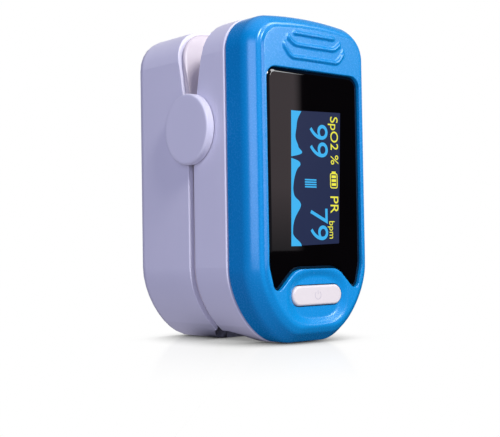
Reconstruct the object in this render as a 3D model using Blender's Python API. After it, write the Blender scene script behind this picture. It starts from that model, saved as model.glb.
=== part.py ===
"""Fingertip pulse oximeter, closed and standing on its finger-opening end.

Row frame: +Z runs from the finger mouth to the squeeze end, the display faces -Y, X is the width.
The origin is the middle of the base. Depths are measured from the front plateau towards the back.
"""

import math

import bmesh
import bpy
from mathutils import Matrix, Vector

MM = 0.001

# Clearances.
GAP = 0.3 * MM  # between pieces that touch on the real thing
RUN = 0.12 * MM  # radial clearance of a pin or a screw in its hole
SLIDE = 0.25 * MM  # each side of a piece that slides in another
CAP_GAP = 0.2 * MM  # under the hinge caps, which the front half turns under

# Body outline, seen from the front.
BODY_LENGTH = 60.0 * MM
BODY_WIDTH = 30.0 * MM
BODY_DEPTH = 36.0 * MM
TOP_CORNER_R = 6.5 * MM
CROWN_R = 82.0 * MM
BASE_HALF_FLAT = 4.0 * MM
BASE_RISE = 14.0 * MM
BASE_PULL = 0.456  # handle length of the base corner's curve, as a share of its two sides
CORNER_STEPS = 10
ARC_STEPS = 6

# Shell depths and walls.
SEAM_DEPTH = 7.76 * MM
SPLIT_DEPTH = 17.2 * MM
WALL = 1.6 * MM
FACE_WALL = 1.3 * MM  # the inner faces on both sides of the split
COVER_STEP = 0.15 * MM  # how far the blue cover stands back from the front shell's edge
SHOULDER_RISE = 2.95 * MM
SHOULDER_RUN = 2.6 * MM
PLATEAU_STEP = 0.35 * MM
FRONT_WALL = 2.3 * MM
BACK_EDGE_R = 2.65 * MM
LIP_DEPTH = 1.3 * MM  # the cradle's lip, seen between the split and the back shell's edge
LIP_INSET = 0.6 * MM

# Hinge.
PIVOT_BELOW_TOP = 20.35 * MM
FRONT_SLOPE_DEG = 11.4
BACK_SLOPE_DEG = 11.0
PIN_R = 1.5 * MM
PIN_INNER_X = 5.8 * MM
EAR_R = 3.4 * MM
EAR_THICKNESS = 1.2 * MM
CAP_R = 6.57 * MM
CAP_PROUD = 1.8 * MM
CAP_ROUND = 0.4 * MM
CAP_PEG_R = 1.0 * MM
CAP_PEG_OFFSET = 4.3 * MM
SPRING_COIL_R = 2.35 * MM
SPRING_WIRE_R = 0.35 * MM
SPRING_TURNS = 4
SPRING_LEG = 7.0 * MM

# Finger channel.
CHANNEL_HALF_WIDTH = 7.6 * MM
UPPER_CHANNEL_DEPTH = 5.6 * MM
LOWER_CHANNEL_DEPTH = 2.9 * MM
CHANNEL_POWER = 2.6
CHANNEL_LENGTH = 34.0 * MM
CHANNEL_WALL = 1.0 * MM
PAD_THICKNESS = 1.0 * MM
PAD_START_Z = 3.6 * MM
PAD_GAP = 0.15 * MM
MOUTH_FLARE = 1.2 * MM
MOUTH_DEPTH = 2.4 * MM
CHANNEL_STEPS = 14
SENSOR_Z = 18.0 * MM
SENSOR_SIDE = 4.4 * MM
SENSOR_PACKAGE = (3.2 * MM, 0.9 * MM, 2.8 * MM)
SENSOR_WINDOW_SINK = 0.4 * MM  # how much thinner the clear plate is than the pad round it

# Display window and what lies behind it.
WINDOW_HALF_WIDTH = 11.73 * MM
WINDOW_TOP_MARGIN = 10.35 * MM
WINDOW_CORNER_R = 2.2 * MM
WINDOW_RECESS = 0.35 * MM
WINDOW_THICKNESS = 1.2 * MM
WINDOW_GAP = 0.12 * MM
HUMP_Z = 13.53 * MM
HUMP_HALF_WIDTH = 5.24 * MM
HUMP_R = 4.0 * MM
EAR_TIP_X = 10.25 * MM
EAR_TIP_Z = 8.77 * MM
EAR_TIP_R = 1.25 * MM
WINDOW_BEND_Z = 14.1 * MM
WINDOW_BEND_R = 8.0 * MM
PANEL_HALF_WIDTH = 8.8 * MM
PANEL_THICKNESS = 1.4 * MM
PANEL_LOW_Z = 16.0 * MM
PANEL_TOP_MARGIN = 2.4 * MM  # below the window's top edge
TAPE_THICKNESS = 0.4 * MM
TAPE_MARGIN = 1.5 * MM

# Button, switch and dish.
BUTTON_Z = 8.74 * MM
BUTTON_HALF_LENGTH = 6.19 * MM
BUTTON_HALF_HEIGHT = 1.81 * MM
BUTTON_SINK = 0.1 * MM  # its face below the plateau
BUTTON_FLANGE = 0.8 * MM
BUTTON_FLANGE_THICKNESS = 0.5 * MM
BUTTON_TRAVEL = 0.4 * MM
DISH_HALF_LENGTH = 7.6 * MM
DISH_HALF_HEIGHT = 4.7 * MM
DISH_DEPTH = 0.55 * MM
DISH_SLOPE = 1.9 * MM
SWITCH_SIDE = 3.6 * MM
PLUNGER_R = 0.8 * MM
PLUNGER_LENGTH = 0.75 * MM

# Grip ridges: each one's height below the body's top, half length and how far its ends turn up.
RIDGE_HEIGHT = 0.35 * MM
RIDGE_HALF_WIDTH = 0.4 * MM
RIDGES = (
    (3.9 * MM, 4.8 * MM, 0.0),
    (6.0 * MM, 6.4 * MM, 1.1 * MM),
    (8.3 * MM, 7.4 * MM, 1.9 * MM),
)

# Board and its components.
BOARD_THICKNESS = 1.0 * MM
BOARD_STANDOFF = 2.05 * MM  # from the cover's inner face to the board
BOARD_INSET = 5.0 * MM
BOARD_TOP_MARGIN = 9.4 * MM
CHIP_GAP = 0.1 * MM
CHIPS = (
    # name, side across, height off the board, side along Z, centre X, centre Z
    ("mcu_chip", 7.0 * MM, 1.1 * MM, 7.0 * MM, -3.5 * MM, 30.0 * MM),
    ("sensor_chip", 5.0 * MM, 1.0 * MM, 6.2 * MM, 4.4 * MM, 22.0 * MM),
    ("regulator_chip", 3.0 * MM, 1.0 * MM, 3.0 * MM, 5.6 * MM, 36.5 * MM),
    ("crystal_can", 3.2 * MM, 0.9 * MM, 5.0 * MM, -5.4 * MM, 21.0 * MM),
)
CONNECTOR = (7.0 * MM, 1.2 * MM, 2.6 * MM)
CONNECTOR_ABOVE_PIVOT = 5.75 * MM
BUZZER_R = 3.6 * MM
BUZZER_HEIGHT = 1.7 * MM
BUZZER_POS = (4.4 * MM, 30.4 * MM)

# Screws.
SCREW_R = 0.75 * MM
SCREW_HEAD_R = 1.3 * MM
SCREW_HEAD_HEIGHT = 1.0 * MM
SCREW_SINK = 0.5 * MM
BOSS_R = 1.5 * MM
BOSS_MERGE = 0.35 * MM  # how far a side boss runs into the wall beside it
COVER_SCREW_REACH = 4.0 * MM  # past the seam, into the cover's boss
SIDE_SCREW_Z = 20.0 * MM
TOP_SCREW_MARGIN = 7.5 * MM
TOP_SCREW_X = 9.4 * MM
FRAME_SCREW_X = 9.5 * MM
FRAME_SCREW_REACH = 2.6 * MM
FRAME_SCREW_LOW_Z = 12.0 * MM
FRAME_SCREW_BELOW_BAY_TOP = 9.6 * MM

# Battery bay, cells and door.
CELL_R = 5.25 * MM
CELL_LENGTH = 44.5 * MM
CELL_NUB_R = 1.9 * MM
CELL_NUB_LENGTH = 0.8 * MM
CELL_SPACING = 11.0 * MM
BAY_LOW_Z = 5.6 * MM
BAY_FLOOR_WALL = 0.8 * MM
CONTACT_THICKNESS = 0.4 * MM
CONTACT_HALF_WIDTH = 3.6 * MM
CELL_SPRING_LENGTH = 4.0 * MM
CELL_SPRING_WIRE_R = 0.3 * MM
CELL_SPRING_TURNS = 3.5
DOOR_THICKNESS = 1.4 * MM
DOOR_HALF_WIDTH = 11.2 * MM
DOOR_LOW_Z = 6.6 * MM
DOOR_CORNER_R = 4.5 * MM
TONGUE_THICKNESS = 0.55 * MM
TONGUE_REACH = 0.8 * MM
TONGUE_LOW_Z = 12.0 * MM
GROOVE_DEPTH = 0.3 * MM
GROOVE_COUNT = 5
GROOVE_PITCH = 1.8 * MM
GROOVE_LOW_Z = 13.0 * MM

# Flex between the halves.
FLEX_HALF_WIDTH = 2.0 * MM
FLEX_THICKNESS = 0.25 * MM

# Sizes that follow from those above.
PLATEAU_Y = RIDGE_HEIGHT - (BODY_DEPTH + RIDGE_HEIGHT) / 2
PIVOT_Z = BODY_LENGTH - PIVOT_BELOW_TOP
HALF_WIDTH = BODY_WIDTH / 2
SPLIT_Y = PLATEAU_Y + SPLIT_DEPTH
BACK_Y = PLATEAU_Y + BODY_DEPTH
CRADLE_Y = SPLIT_Y + GAP
LIP_Y = CRADLE_Y + LIP_DEPTH
BAY_HALF_WIDTH = CELL_SPACING / 2 + CELL_R + GAP
CELL_Y = BACK_Y - DOOR_THICKNESS - SLIDE - CELL_R
BAY_FLOOR_Y = CELL_Y - CELL_R - GAP
CRADLE_BACK_Y = BAY_FLOOR_Y - BAY_FLOOR_WALL - GAP
BAY_LENGTH = 2 * CONTACT_THICKNESS + CELL_LENGTH + CELL_SPRING_LENGTH + 4 * GAP
BAY_HIGH_Z = BAY_LOW_Z + BAY_LENGTH
INNER_HALF_WIDTH = HALF_WIDTH - WALL
FRONT_EAR_X = INNER_HALF_WIDTH - GAP - EAR_THICKNESS
BACK_EAR_X = FRONT_EAR_X - GAP - EAR_THICKNESS
EAR_ROOM = EAR_R + 1.4 * GAP
SPRING_LOW_X = PIN_INNER_X + GAP + SPRING_WIRE_R
SPRING_HIGH_X = BACK_EAR_X - GAP - SPRING_WIRE_R
WINDOW_TOP_Z = BODY_LENGTH - WINDOW_TOP_MARGIN
SIDE_SCREW_X = INNER_HALF_WIDTH - COVER_STEP - BOSS_R + BOSS_MERGE
SENSOR_WINDOW_THICKNESS = PAD_THICKNESS - SENSOR_WINDOW_SINK
BUTTON_BACK = FRONT_WALL + CHIP_GAP
BOARD_DEPTH = FRONT_WALL + BOARD_STANDOFF
SWITCH_HEIGHT = BOARD_DEPTH - BUTTON_BACK - BUTTON_FLANGE_THICKNESS - BUTTON_TRAVEL - 2 * CHIP_GAP
PANEL_DEPTH = WINDOW_RECESS + WINDOW_THICKNESS + GAP
PANEL_HIGH_Z = WINDOW_TOP_Z - PANEL_TOP_MARGIN


# ---- Small tools -------------------------------------------------------------------------------


def material(name, colour, roughness, metallic=0.0, alpha=1.0):
    """A Principled material in one colour."""
    made = bpy.data.materials.new(name)
    made.use_nodes = True
    shader = made.node_tree.nodes["Principled BSDF"]
    shader.inputs["Base Color"].default_value = (*colour, 1.0)
    shader.inputs["Roughness"].default_value = roughness
    shader.inputs["Metallic"].default_value = metallic
    shader.inputs["Alpha"].default_value = alpha
    made.diffuse_color = (*colour, alpha)
    return made


def add_object(name, bm, finish=None):
    """The mesh as an object: a part when it has a finish, or else a helper that only cuts or joins."""
    bmesh.ops.recalc_face_normals(bm, faces=bm.faces)
    mesh = bpy.data.meshes.new(name)
    bm.to_mesh(mesh)
    bm.free()
    made = bpy.data.objects.new(name, mesh)
    bpy.context.scene.collection.objects.link(made)
    if finish:
        mesh.materials.append(finish)
        mesh.shade_smooth()
        mesh.set_sharp_from_angle(angle=math.radians(35))
    else:
        made.hide_render = True
        made.display_type = "WIRE"
    return made


def change(part, operation, *helpers):
    """Cuts the helpers from the part, or joins them to it."""
    for helper in helpers:
        modifier = part.modifiers.new(helper.name, "BOOLEAN")
        modifier.operation = operation
        modifier.solver = "EXACT"
        modifier.object = helper


def cut(part, *helpers):
    """Cuts the helpers from the part."""
    change(part, "DIFFERENCE", *helpers)


def join(part, *helpers):
    """Joins the helpers to the part."""
    change(part, "UNION", *helpers)


def skin(rings):
    """A closed mesh through rings of points that all have the same count, capped at both ends."""
    bm = bmesh.new()
    loops = [[bm.verts.new(point) for point in ring] for ring in rings]
    count = len(loops[0])
    for low, high in zip(loops, loops[1:]):
        for i in range(count):
            j = (i + 1) % count
            bm.faces.new((low[i], low[j], high[j], high[i]))
    bm.faces.new(loops[0])
    bm.faces.new(loops[-1])
    return bm


def along_y(sections):
    """A solid through (y, outline) sections, where an outline is a list of (x, z)."""
    return skin([[(x, y, z) for x, z in outline] for y, outline in sections])


def along_z(sections):
    """A solid through (z, outline) sections, where an outline is a list of (x, y)."""
    return skin([[(x, y, z) for x, y in outline] for z, outline in sections])


def box(low, high):
    """A box between two corners."""
    (x0, y0, z0), (x1, y1, z1) = low, high
    return along_z(((z, [(x0, y0), (x1, y0), (x1, y1), (x0, y1)]) for z in (z0, z1)))


def circle(radius, sides, centre=(0.0, 0.0)):
    """Points on a circle."""
    turns = [2 * math.pi * i / sides for i in range(sides)]
    return [(centre[0] + radius * math.cos(t), centre[1] + radius * math.sin(t)) for t in turns]


def rod_y(x, z, steps, sides=16):
    """A round bar along Y through (y, radius) steps."""
    return along_y([(y, circle(radius, sides, (x, z))) for y, radius in steps])


def rod_x(y, z, steps, sides=24):
    """A round bar along X through (x, radius) steps."""
    return skin([[(x, p, q) for p, q in circle(radius, sides, (y, z))] for x, radius in steps])


def rod_z(x, y, steps, sides=24):
    """A round bar along Z through (z, radius) steps."""
    return along_z([(z, circle(radius, sides, (x, y))) for z, radius in steps])


def pill(half_length, half_height, centre_z, steps=8):
    """A slot outline with round ends, lying along X."""
    reach = half_length - half_height
    points = []
    for side, start in ((1, -90.0), (-1, 90.0)):
        for i in range(steps + 1):
            turn = math.radians(start + 180.0 * i / steps)
            x = side * reach + half_height * math.cos(turn)
            points.append((x, centre_z + half_height * math.sin(turn)))
    return points


def rounded(corners, steps=5):
    """An outline through (x, z, radius) corners, each rounded to its radius by an arc."""
    points = []
    count = len(corners)
    for i, (x, z, radius) in enumerate(corners):
        here = Vector((x, z))
        if radius == 0:
            points.append((x, z))
            continue
        before = (Vector(corners[i - 1][:2]) - here).normalized()
        after = (Vector(corners[(i + 1) % count][:2]) - here).normalized()
        half = before.angle(after) / 2
        centre = here + (before + after).normalized() * (radius / math.sin(half))
        start = here + before * (radius / math.tan(half)) - centre
        end = here + after * (radius / math.tan(half)) - centre
        turn = math.atan2(start.x * end.y - start.y * end.x, start.dot(end))
        for k in range(steps + 1):
            arm = Matrix.Rotation(turn * k / steps, 2) @ start
            points.append((centre.x + arm.x, centre.y + arm.y))
    return points


def tube(name, points, radius, finish, sides=6):
    """A round wire along the points, as a curve with filled caps."""
    data = bpy.data.curves.new(name, "CURVE")
    data.dimensions = "3D"
    data.bevel_depth = radius
    data.bevel_resolution = sides // 2 - 2
    data.use_fill_caps = True
    spline = data.splines.new("POLY")
    spline.points.add(len(points) - 1)
    for spot, point in zip(spline.points, points):
        spot.co = (*point, 1.0)
    data.materials.append(finish)
    made = bpy.data.objects.new(name, data)
    bpy.context.scene.collection.objects.link(made)
    return made


def place(part, x, y, z):
    """Moves the part's origin to a point, such as one on its joint's axis, and leaves its shape where it is."""
    part.data.transform(Matrix.Translation((-x, -y, -z)))
    part.location = (x, y, z)


def carry(name, parts, x, y, z):
    """An empty on a joint's axis that carries the parts, which stay where they are."""
    axis = bpy.data.objects.new(name, None)
    axis.location = (x, y, z)
    bpy.context.scene.collection.objects.link(axis)
    for part in parts:
        part.parent = axis
        part.matrix_parent_inverse = Matrix.Translation((-x, -y, -z))


# ---- Outlines ----------------------------------------------------------------------------------


def right_half(inset):
    """The right half of the body's outline, from the base's middle to the crown's, moved in by an inset."""
    points = [(0.0, inset)]
    side = HALF_WIDTH - BASE_HALF_FLAT
    start = Vector((BASE_HALF_FLAT, 0.0))
    handle_1 = start + Vector((BASE_PULL * side, 0.0))
    end = Vector((HALF_WIDTH, BASE_RISE))
    handle_2 = end - Vector((0.0, BASE_PULL * BASE_RISE))
    for i in range(CORNER_STEPS + 1):
        t = i / CORNER_STEPS
        s = 1 - t
        spot = start * s**3 + handle_1 * (3 * s * s * t) + handle_2 * (3 * s * t * t) + end * t**3
        run = (handle_1 - start) * s * s + (handle_2 - handle_1) * (2 * s * t) + (end - handle_2) * t * t
        run.normalize()
        points.append((spot.x - run.y * inset, spot.y + run.x * inset))
    corner_x = HALF_WIDTH - TOP_CORNER_R
    reach = CROWN_R - TOP_CORNER_R
    crown_z = BODY_LENGTH - CROWN_R
    corner_z = crown_z + math.sqrt(reach**2 - corner_x**2)
    tilt = math.asin(corner_x / reach)
    for i in range(ARC_STEPS + 1):
        turn = (math.pi / 2 - tilt) * i / ARC_STEPS
        radius = TOP_CORNER_R - inset
        points.append((corner_x + radius * math.cos(turn), corner_z + radius * math.sin(turn)))
    for i in range(1, ARC_STEPS // 2 + 1):
        turn = tilt * (1 - 2 * i / ARC_STEPS)
        radius = CROWN_R - inset
        points.append((radius * math.sin(turn), crown_z + radius * math.cos(turn)))
    return points


def body_outline(inset=0.0):
    """The whole outline of the body, seen from the front."""
    right = right_half(inset)
    left = [(-x, z) for x, z in reversed(right[1:-1])]
    return right + left


def window_outline(grow=0.0):
    """The display window: square above, and two points below that reach down on both sides of the button."""
    right = [
        (HUMP_HALF_WIDTH, HUMP_Z - grow, HUMP_R + grow),
        (EAR_TIP_X, EAR_TIP_Z - grow * 1.2, EAR_TIP_R + grow),
        (WINDOW_HALF_WIDTH + grow, WINDOW_BEND_Z, WINDOW_BEND_R),
        (WINDOW_HALF_WIDTH + grow, WINDOW_TOP_Z + grow, WINDOW_CORNER_R + grow),
    ]
    left = [(-x, z, radius) for x, z, radius in reversed(right)]
    return rounded(right + left)


def channel_outline(depth, grow, side):
    """Half of the finger channel's section, open at the split: side is -1 in the front half and 1 in the back."""
    edge = SPLIT_Y if side < 0 else CRADLE_Y
    half_width = CHANNEL_HALF_WIDTH + grow
    points = []
    for i in range(CHANNEL_STEPS + 1):
        turn = math.pi * i / CHANNEL_STEPS
        across = math.copysign(abs(math.cos(turn)) ** (2 / CHANNEL_POWER), math.cos(turn))
        down = math.sin(turn) ** (2 / CHANNEL_POWER) if 0 < i < CHANNEL_STEPS else 0.0
        points.append((half_width * across, edge + side * (depth + grow) * down))
    return points


def channel_solid(depth, grow, side, low_z, high_z, past=0.0, flare=0.0):
    """A plug of the finger channel's shape, which may run past the split and widen at the mouth."""
    edge = SPLIT_Y if side < 0 else CRADLE_Y
    heights = [(low_z, flare), (MOUTH_DEPTH, 0.0), (high_z, 0.0)] if flare else [(low_z, 0.0), (high_z, 0.0)]
    sections = []
    for z, wider in heights:
        outline = channel_outline(depth, grow + wider, side)
        if past:
            outline = outline + [(outline[-1][0], edge - side * past), (outline[0][0], edge - side * past)]
        sections.append((z, outline))
    return along_z(sections)


def sloped(bm, slope_deg, from_y, side):
    """Leans the faces past from_y away from the split above the pivot, to open the V that is squeezed."""
    geometry = list(bm.verts) + list(bm.edges) + list(bm.faces)
    bmesh.ops.bisect_plane(bm, geom=geometry, plane_co=(0, 0, PIVOT_Z), plane_no=(0, 0, 1))
    lean = side * math.tan(math.radians(slope_deg))
    for vert in bm.verts:
        if side * (from_y - vert.co.y) >= 0 and vert.co.z > PIVOT_Z:
            vert.co.y += lean * (vert.co.z - PIVOT_Z)
    return bm


def front_face_y(z):
    """Where the front half's inner face lies at a height."""
    return SPLIT_Y - max(0.0, z - PIVOT_Z) * math.tan(math.radians(FRONT_SLOPE_DEG))


def ear(name, side, low_x, high_x, towards, reach):
    """A hinge ear: a round end on the pivot and a neck that reaches into its own half."""
    points = circle(EAR_R, 24, (SPLIT_Y, PIVOT_Z))
    keep = [p for p in points if towards * (p[0] - SPLIT_Y) <= EAR_R * 0.01]
    keep.sort(key=lambda p: p[1])
    foot = SPLIT_Y + towards * reach
    outline = keep + [(foot, PIVOT_Z + EAR_R), (foot, PIVOT_Z - EAR_R)]
    xs = sorted((side * low_x, side * high_x))
    return add_object(name, skin([[(x, y, z) for y, z in outline] for x in xs]))


def screw(name, x, z, seat_y, head_side, length, finish):
    """A small pan-head screw along Y with a cross recess. head_side is the side of the seat that the head is on."""
    head = seat_y + head_side * SCREW_HEAD_HEIGHT
    tip = seat_y - head_side * length
    steps = [
        (head, SCREW_HEAD_R * 0.85),
        (head - head_side * SCREW_HEAD_HEIGHT * 0.3, SCREW_HEAD_R),
        (seat_y, SCREW_HEAD_R),
        (seat_y, SCREW_R),
        (tip + head_side * SCREW_R, SCREW_R),
        (tip, SCREW_R * 0.4),
    ]
    made = add_object(name, rod_y(x, z, steps, 12), finish)
    arm = SCREW_HEAD_R * 0.6
    web = SCREW_HEAD_R * 0.16
    cross = [(web, arm), (web, web), (arm, web), (arm, -web), (web, -web), (web, -arm)]
    cross += [(-p, -q) for p, q in cross]
    outline = [(x + p, z + q) for p, q in cross]
    depth = head - head_side * SCREW_HEAD_HEIGHT * 0.55
    cut(made, add_object(name + "_recess", along_y([(depth, outline), (head + head_side * GAP, outline)])))
    place(made, x, seat_y, z)
    return made


# ---- Front half --------------------------------------------------------------------------------


def cover_screw_spots():
    """(x, z) of the screws that hold the front shell to the cover."""
    top_z = BODY_LENGTH - TOP_SCREW_MARGIN
    return [
        (-SIDE_SCREW_X, SIDE_SCREW_Z),
        (SIDE_SCREW_X, SIDE_SCREW_Z),
        (-TOP_SCREW_X, top_z),
        (TOP_SCREW_X, top_z),
    ]


def make_front_cover(blue):
    """The blue cover: a tray with a round shoulder, a plateau, the window's seat, the dish and the grip."""
    front = PLATEAU_Y
    sections = [(front + SEAM_DEPTH - GAP / 2, body_outline(COVER_STEP))]
    for i in range(5):
        turn = math.pi / 2 * i / 4
        y = front + PLATEAU_STEP + SHOULDER_RISE * (1 - math.sin(turn))
        sections.append((y, body_outline(COVER_STEP + SHOULDER_RUN * (1 - math.cos(turn)))))
    sections.append((front, body_outline(COVER_STEP + SHOULDER_RUN + PLATEAU_STEP * 0.5)))
    cover = add_object("front_cover", along_y(sections), blue)
    for i, (drop, half_length, turn_up) in enumerate(RIDGES):
        z = BODY_LENGTH - drop
        bend = half_length - 1.6 * turn_up
        path = [(-half_length, z + turn_up), (-bend, z), (bend, z), (half_length, z + turn_up)]
        path = path if turn_up else [path[0], path[3]]
        upper = [(x, z + RIDGE_HALF_WIDTH) for x, z in path]
        lower = [(x, z - RIDGE_HALF_WIDTH) for x, z in reversed(path)]
        ridge = along_y([(front - RIDGE_HEIGHT, upper + lower), (front + RIDGE_HEIGHT, upper + lower)])
        join(cover, add_object(f"grip_ridge_{i + 1}", ridge))
    inner = COVER_STEP + WALL
    pocket = [
        (front + SEAM_DEPTH + GAP, body_outline(inner)),
        (front + FRONT_WALL + WALL, body_outline(inner)),
        (front + FRONT_WALL, body_outline(inner + SHOULDER_RUN)),
    ]
    hollow = add_object("cover_hollow", along_y(pocket))
    for i, (x, z) in enumerate(cover_screw_spots()):
        boss = rod_y(x, z, [(front + GAP, BOSS_R), (front + SEAM_DEPTH - 1.5 * GAP, BOSS_R)])
        cut(hollow, add_object(f"cover_boss_{i + 1}", boss))
    cut(cover, hollow)
    seat = [(y, window_outline()) for y in (front - GAP, front + WINDOW_RECESS + WINDOW_THICKNESS + WINDOW_GAP)]
    cut(cover, add_object("window_seat", along_y(seat)))
    wide = PANEL_HALF_WIDTH + SLIDE
    low = (-wide, front + WINDOW_RECESS, PANEL_LOW_Z - SLIDE)
    cut(cover, add_object("panel_opening", box(low, (wide, front + FRONT_WALL + GAP, PANEL_HIGH_Z + SLIDE))))
    dish = [
        (front - GAP, pill(DISH_HALF_LENGTH + GAP, DISH_HALF_HEIGHT + GAP, BUTTON_Z)),
        (front + DISH_DEPTH, pill(DISH_HALF_LENGTH - DISH_SLOPE / 2, DISH_HALF_HEIGHT - DISH_SLOPE, BUTTON_Z)),
    ]
    cut(cover, add_object("button_dish", along_y(dish)))
    hole = pill(BUTTON_HALF_LENGTH + SLIDE, BUTTON_HALF_HEIGHT + SLIDE, BUTTON_Z)
    cut(cover, add_object("button_hole", along_y([(front - GAP, hole), (front + FRONT_WALL + GAP, hole)])))
    for i, (x, z) in enumerate(cover_screw_spots()):
        reach = [(front + SEAM_DEPTH - COVER_SCREW_REACH - GAP, SCREW_R + RUN), (front + SEAM_DEPTH, SCREW_R + RUN)]
        cut(cover, add_object(f"cover_pilot_{i + 1}", rod_y(x, z, reach, 12)))
    return cover


def make_window_and_panel(black, glass, foam, amber):
    """The glossy window, the display panel behind it, its foam tape and its ribbon to the board."""
    face = PLATEAU_Y + WINDOW_RECESS
    outline = window_outline(-WINDOW_GAP)
    add_object("display_window", along_y([(face, outline), (face + WINDOW_THICKNESS, outline)]), black)
    low_y = PLATEAU_Y + PANEL_DEPTH
    high_y = low_y + PANEL_THICKNESS
    corner = (PANEL_HALF_WIDTH, high_y, PANEL_HIGH_Z)
    add_object("oled_panel", box((-PANEL_HALF_WIDTH, low_y, PANEL_LOW_Z), corner), glass)
    half = PANEL_HALF_WIDTH - TAPE_MARGIN
    tape_low = (-half, high_y + CHIP_GAP, PANEL_LOW_Z + TAPE_MARGIN)
    tape_high = (half, high_y + CHIP_GAP + TAPE_THICKNESS, PANEL_HIGH_Z - TAPE_MARGIN)
    add_object("oled_tape", box(tape_low, tape_high), foam)
    route = [
        (high_y - 0.5 * PANEL_THICKNESS, PANEL_LOW_Z - GAP),
        (high_y - 0.35 * PANEL_THICKNESS, PANEL_LOW_Z - 3 * GAP),
        (PLATEAU_Y + BOARD_DEPTH - 2 * GAP, PANEL_LOW_Z - 6 * GAP),
        (PLATEAU_Y + BOARD_DEPTH - GAP, PANEL_LOW_Z - 10 * GAP),
    ]
    add_ribbon("oled_ribbon", route, -PANEL_HALF_WIDTH / 2, PANEL_HALF_WIDTH / 2, amber)


def add_ribbon(name, route, low_x, high_x, finish):
    """A thin flat ribbon whose middle follows (y, z) points."""
    offsets = []
    for i, (y, z) in enumerate(route):
        before = Vector(route[max(i - 1, 0)])
        after = Vector(route[min(i + 1, len(route) - 1)])
        run = (after - before).normalized()
        offsets.append((-run.y * FLEX_THICKNESS / 2, run.x * FLEX_THICKNESS / 2))
    upper = [(y + p, z + q) for (y, z), (p, q) in zip(route, offsets)]
    lower = [(y - p, z - q) for (y, z), (p, q) in zip(route, offsets)]
    outline = upper + lower[::-1]
    rings = [[(x, y, z) for y, z in outline] for x in (low_x, high_x)]
    return add_object(name, skin(rings), finish)


def make_button_and_switch(white, black, steel):
    """The power button, held behind the cover by its flange, and the switch that it presses."""
    front = PLATEAU_Y
    face = front + BUTTON_SINK
    flange = front + BUTTON_BACK
    round_off = 0.35 * MM
    full = pill(BUTTON_HALF_LENGTH, BUTTON_HALF_HEIGHT, BUTTON_Z)
    small = pill(BUTTON_HALF_LENGTH - round_off, BUTTON_HALF_HEIGHT - round_off, BUTTON_Z)
    wide = pill(BUTTON_HALF_LENGTH + BUTTON_FLANGE, BUTTON_HALF_HEIGHT + BUTTON_FLANGE, BUTTON_Z)
    sections = [
        (face, small),
        (face + round_off, full),
        (flange, full),
        (flange, wide),
        (flange + BUTTON_FLANGE_THICKNESS, wide),
    ]
    button = add_object("power_button", along_y(sections), white)
    stem_end = flange + BUTTON_FLANGE_THICKNESS + CHIP_GAP
    stem = rod_y(0.0, BUTTON_Z, [(flange + CHIP_GAP, PLUNGER_R), (stem_end, PLUNGER_R)])
    join(button, add_object("button_stem", stem))
    place(button, 0.0, face, BUTTON_Z)
    board = front + BOARD_DEPTH
    half = SWITCH_SIDE / 2
    low = (-half, board - CHIP_GAP - SWITCH_HEIGHT, BUTTON_Z - half)
    body = add_object("switch_body", box(low, (half, board - CHIP_GAP, BUTTON_Z + half)), steel)
    bore = rod_y(0.0, BUTTON_Z, [(low[1] - GAP, PLUNGER_R + RUN), (board, PLUNGER_R + RUN)])
    cut(body, add_object("switch_bore", bore))
    top = stem_end + CHIP_GAP
    plunger = rod_y(0.0, BUTTON_Z, [(top, PLUNGER_R), (top + PLUNGER_LENGTH, PLUNGER_R)])
    place(add_object("switch_plunger", plunger, black), 0.0, top, BUTTON_Z)


def make_board(green, black, steel, brass):
    """The main board, and the parts soldered on its back."""
    low_y = PLATEAU_Y + BOARD_DEPTH
    high_y = low_y + BOARD_THICKNESS
    top_z = BODY_LENGTH - BOARD_TOP_MARGIN
    outline = [(x, min(z, top_z)) for x, z in body_outline(BOARD_INSET)]
    kept = [p for i, p in enumerate(outline) if p != outline[i - 1]]
    add_object("main_board", along_y([(low_y, kept), (high_y, kept)]), green)
    connector = ("flex_connector", *CONNECTOR, 0.0, PIVOT_Z + CONNECTOR_ABOVE_PIVOT)
    for name, across, height, tall, x, z in (*CHIPS, connector):
        low = (x - across / 2, high_y + CHIP_GAP, z - tall / 2)
        high = (x + across / 2, high_y + CHIP_GAP + height, z + tall / 2)
        chip = add_object(name, box(low, high), steel if name == "crystal_can" else black)
        bevel = chip.modifiers.new("edge", "BEVEL")
        bevel.width = 0.12 * MM
        bevel.segments = 1
    x, z = BUZZER_POS
    base = high_y + CHIP_GAP
    steps = [(base, BUZZER_R), (base + BUZZER_HEIGHT * 0.8, BUZZER_R), (base + BUZZER_HEIGHT, BUZZER_R * 0.9)]
    buzzer = add_object("buzzer", rod_y(x, z, steps, 24), brass)
    port = rod_y(x, z, [(base + BUZZER_HEIGHT / 2, 0.5 * MM), (base + BUZZER_HEIGHT + GAP, 0.5 * MM)], 8)
    cut(buzzer, add_object("buzzer_port", port))


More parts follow.
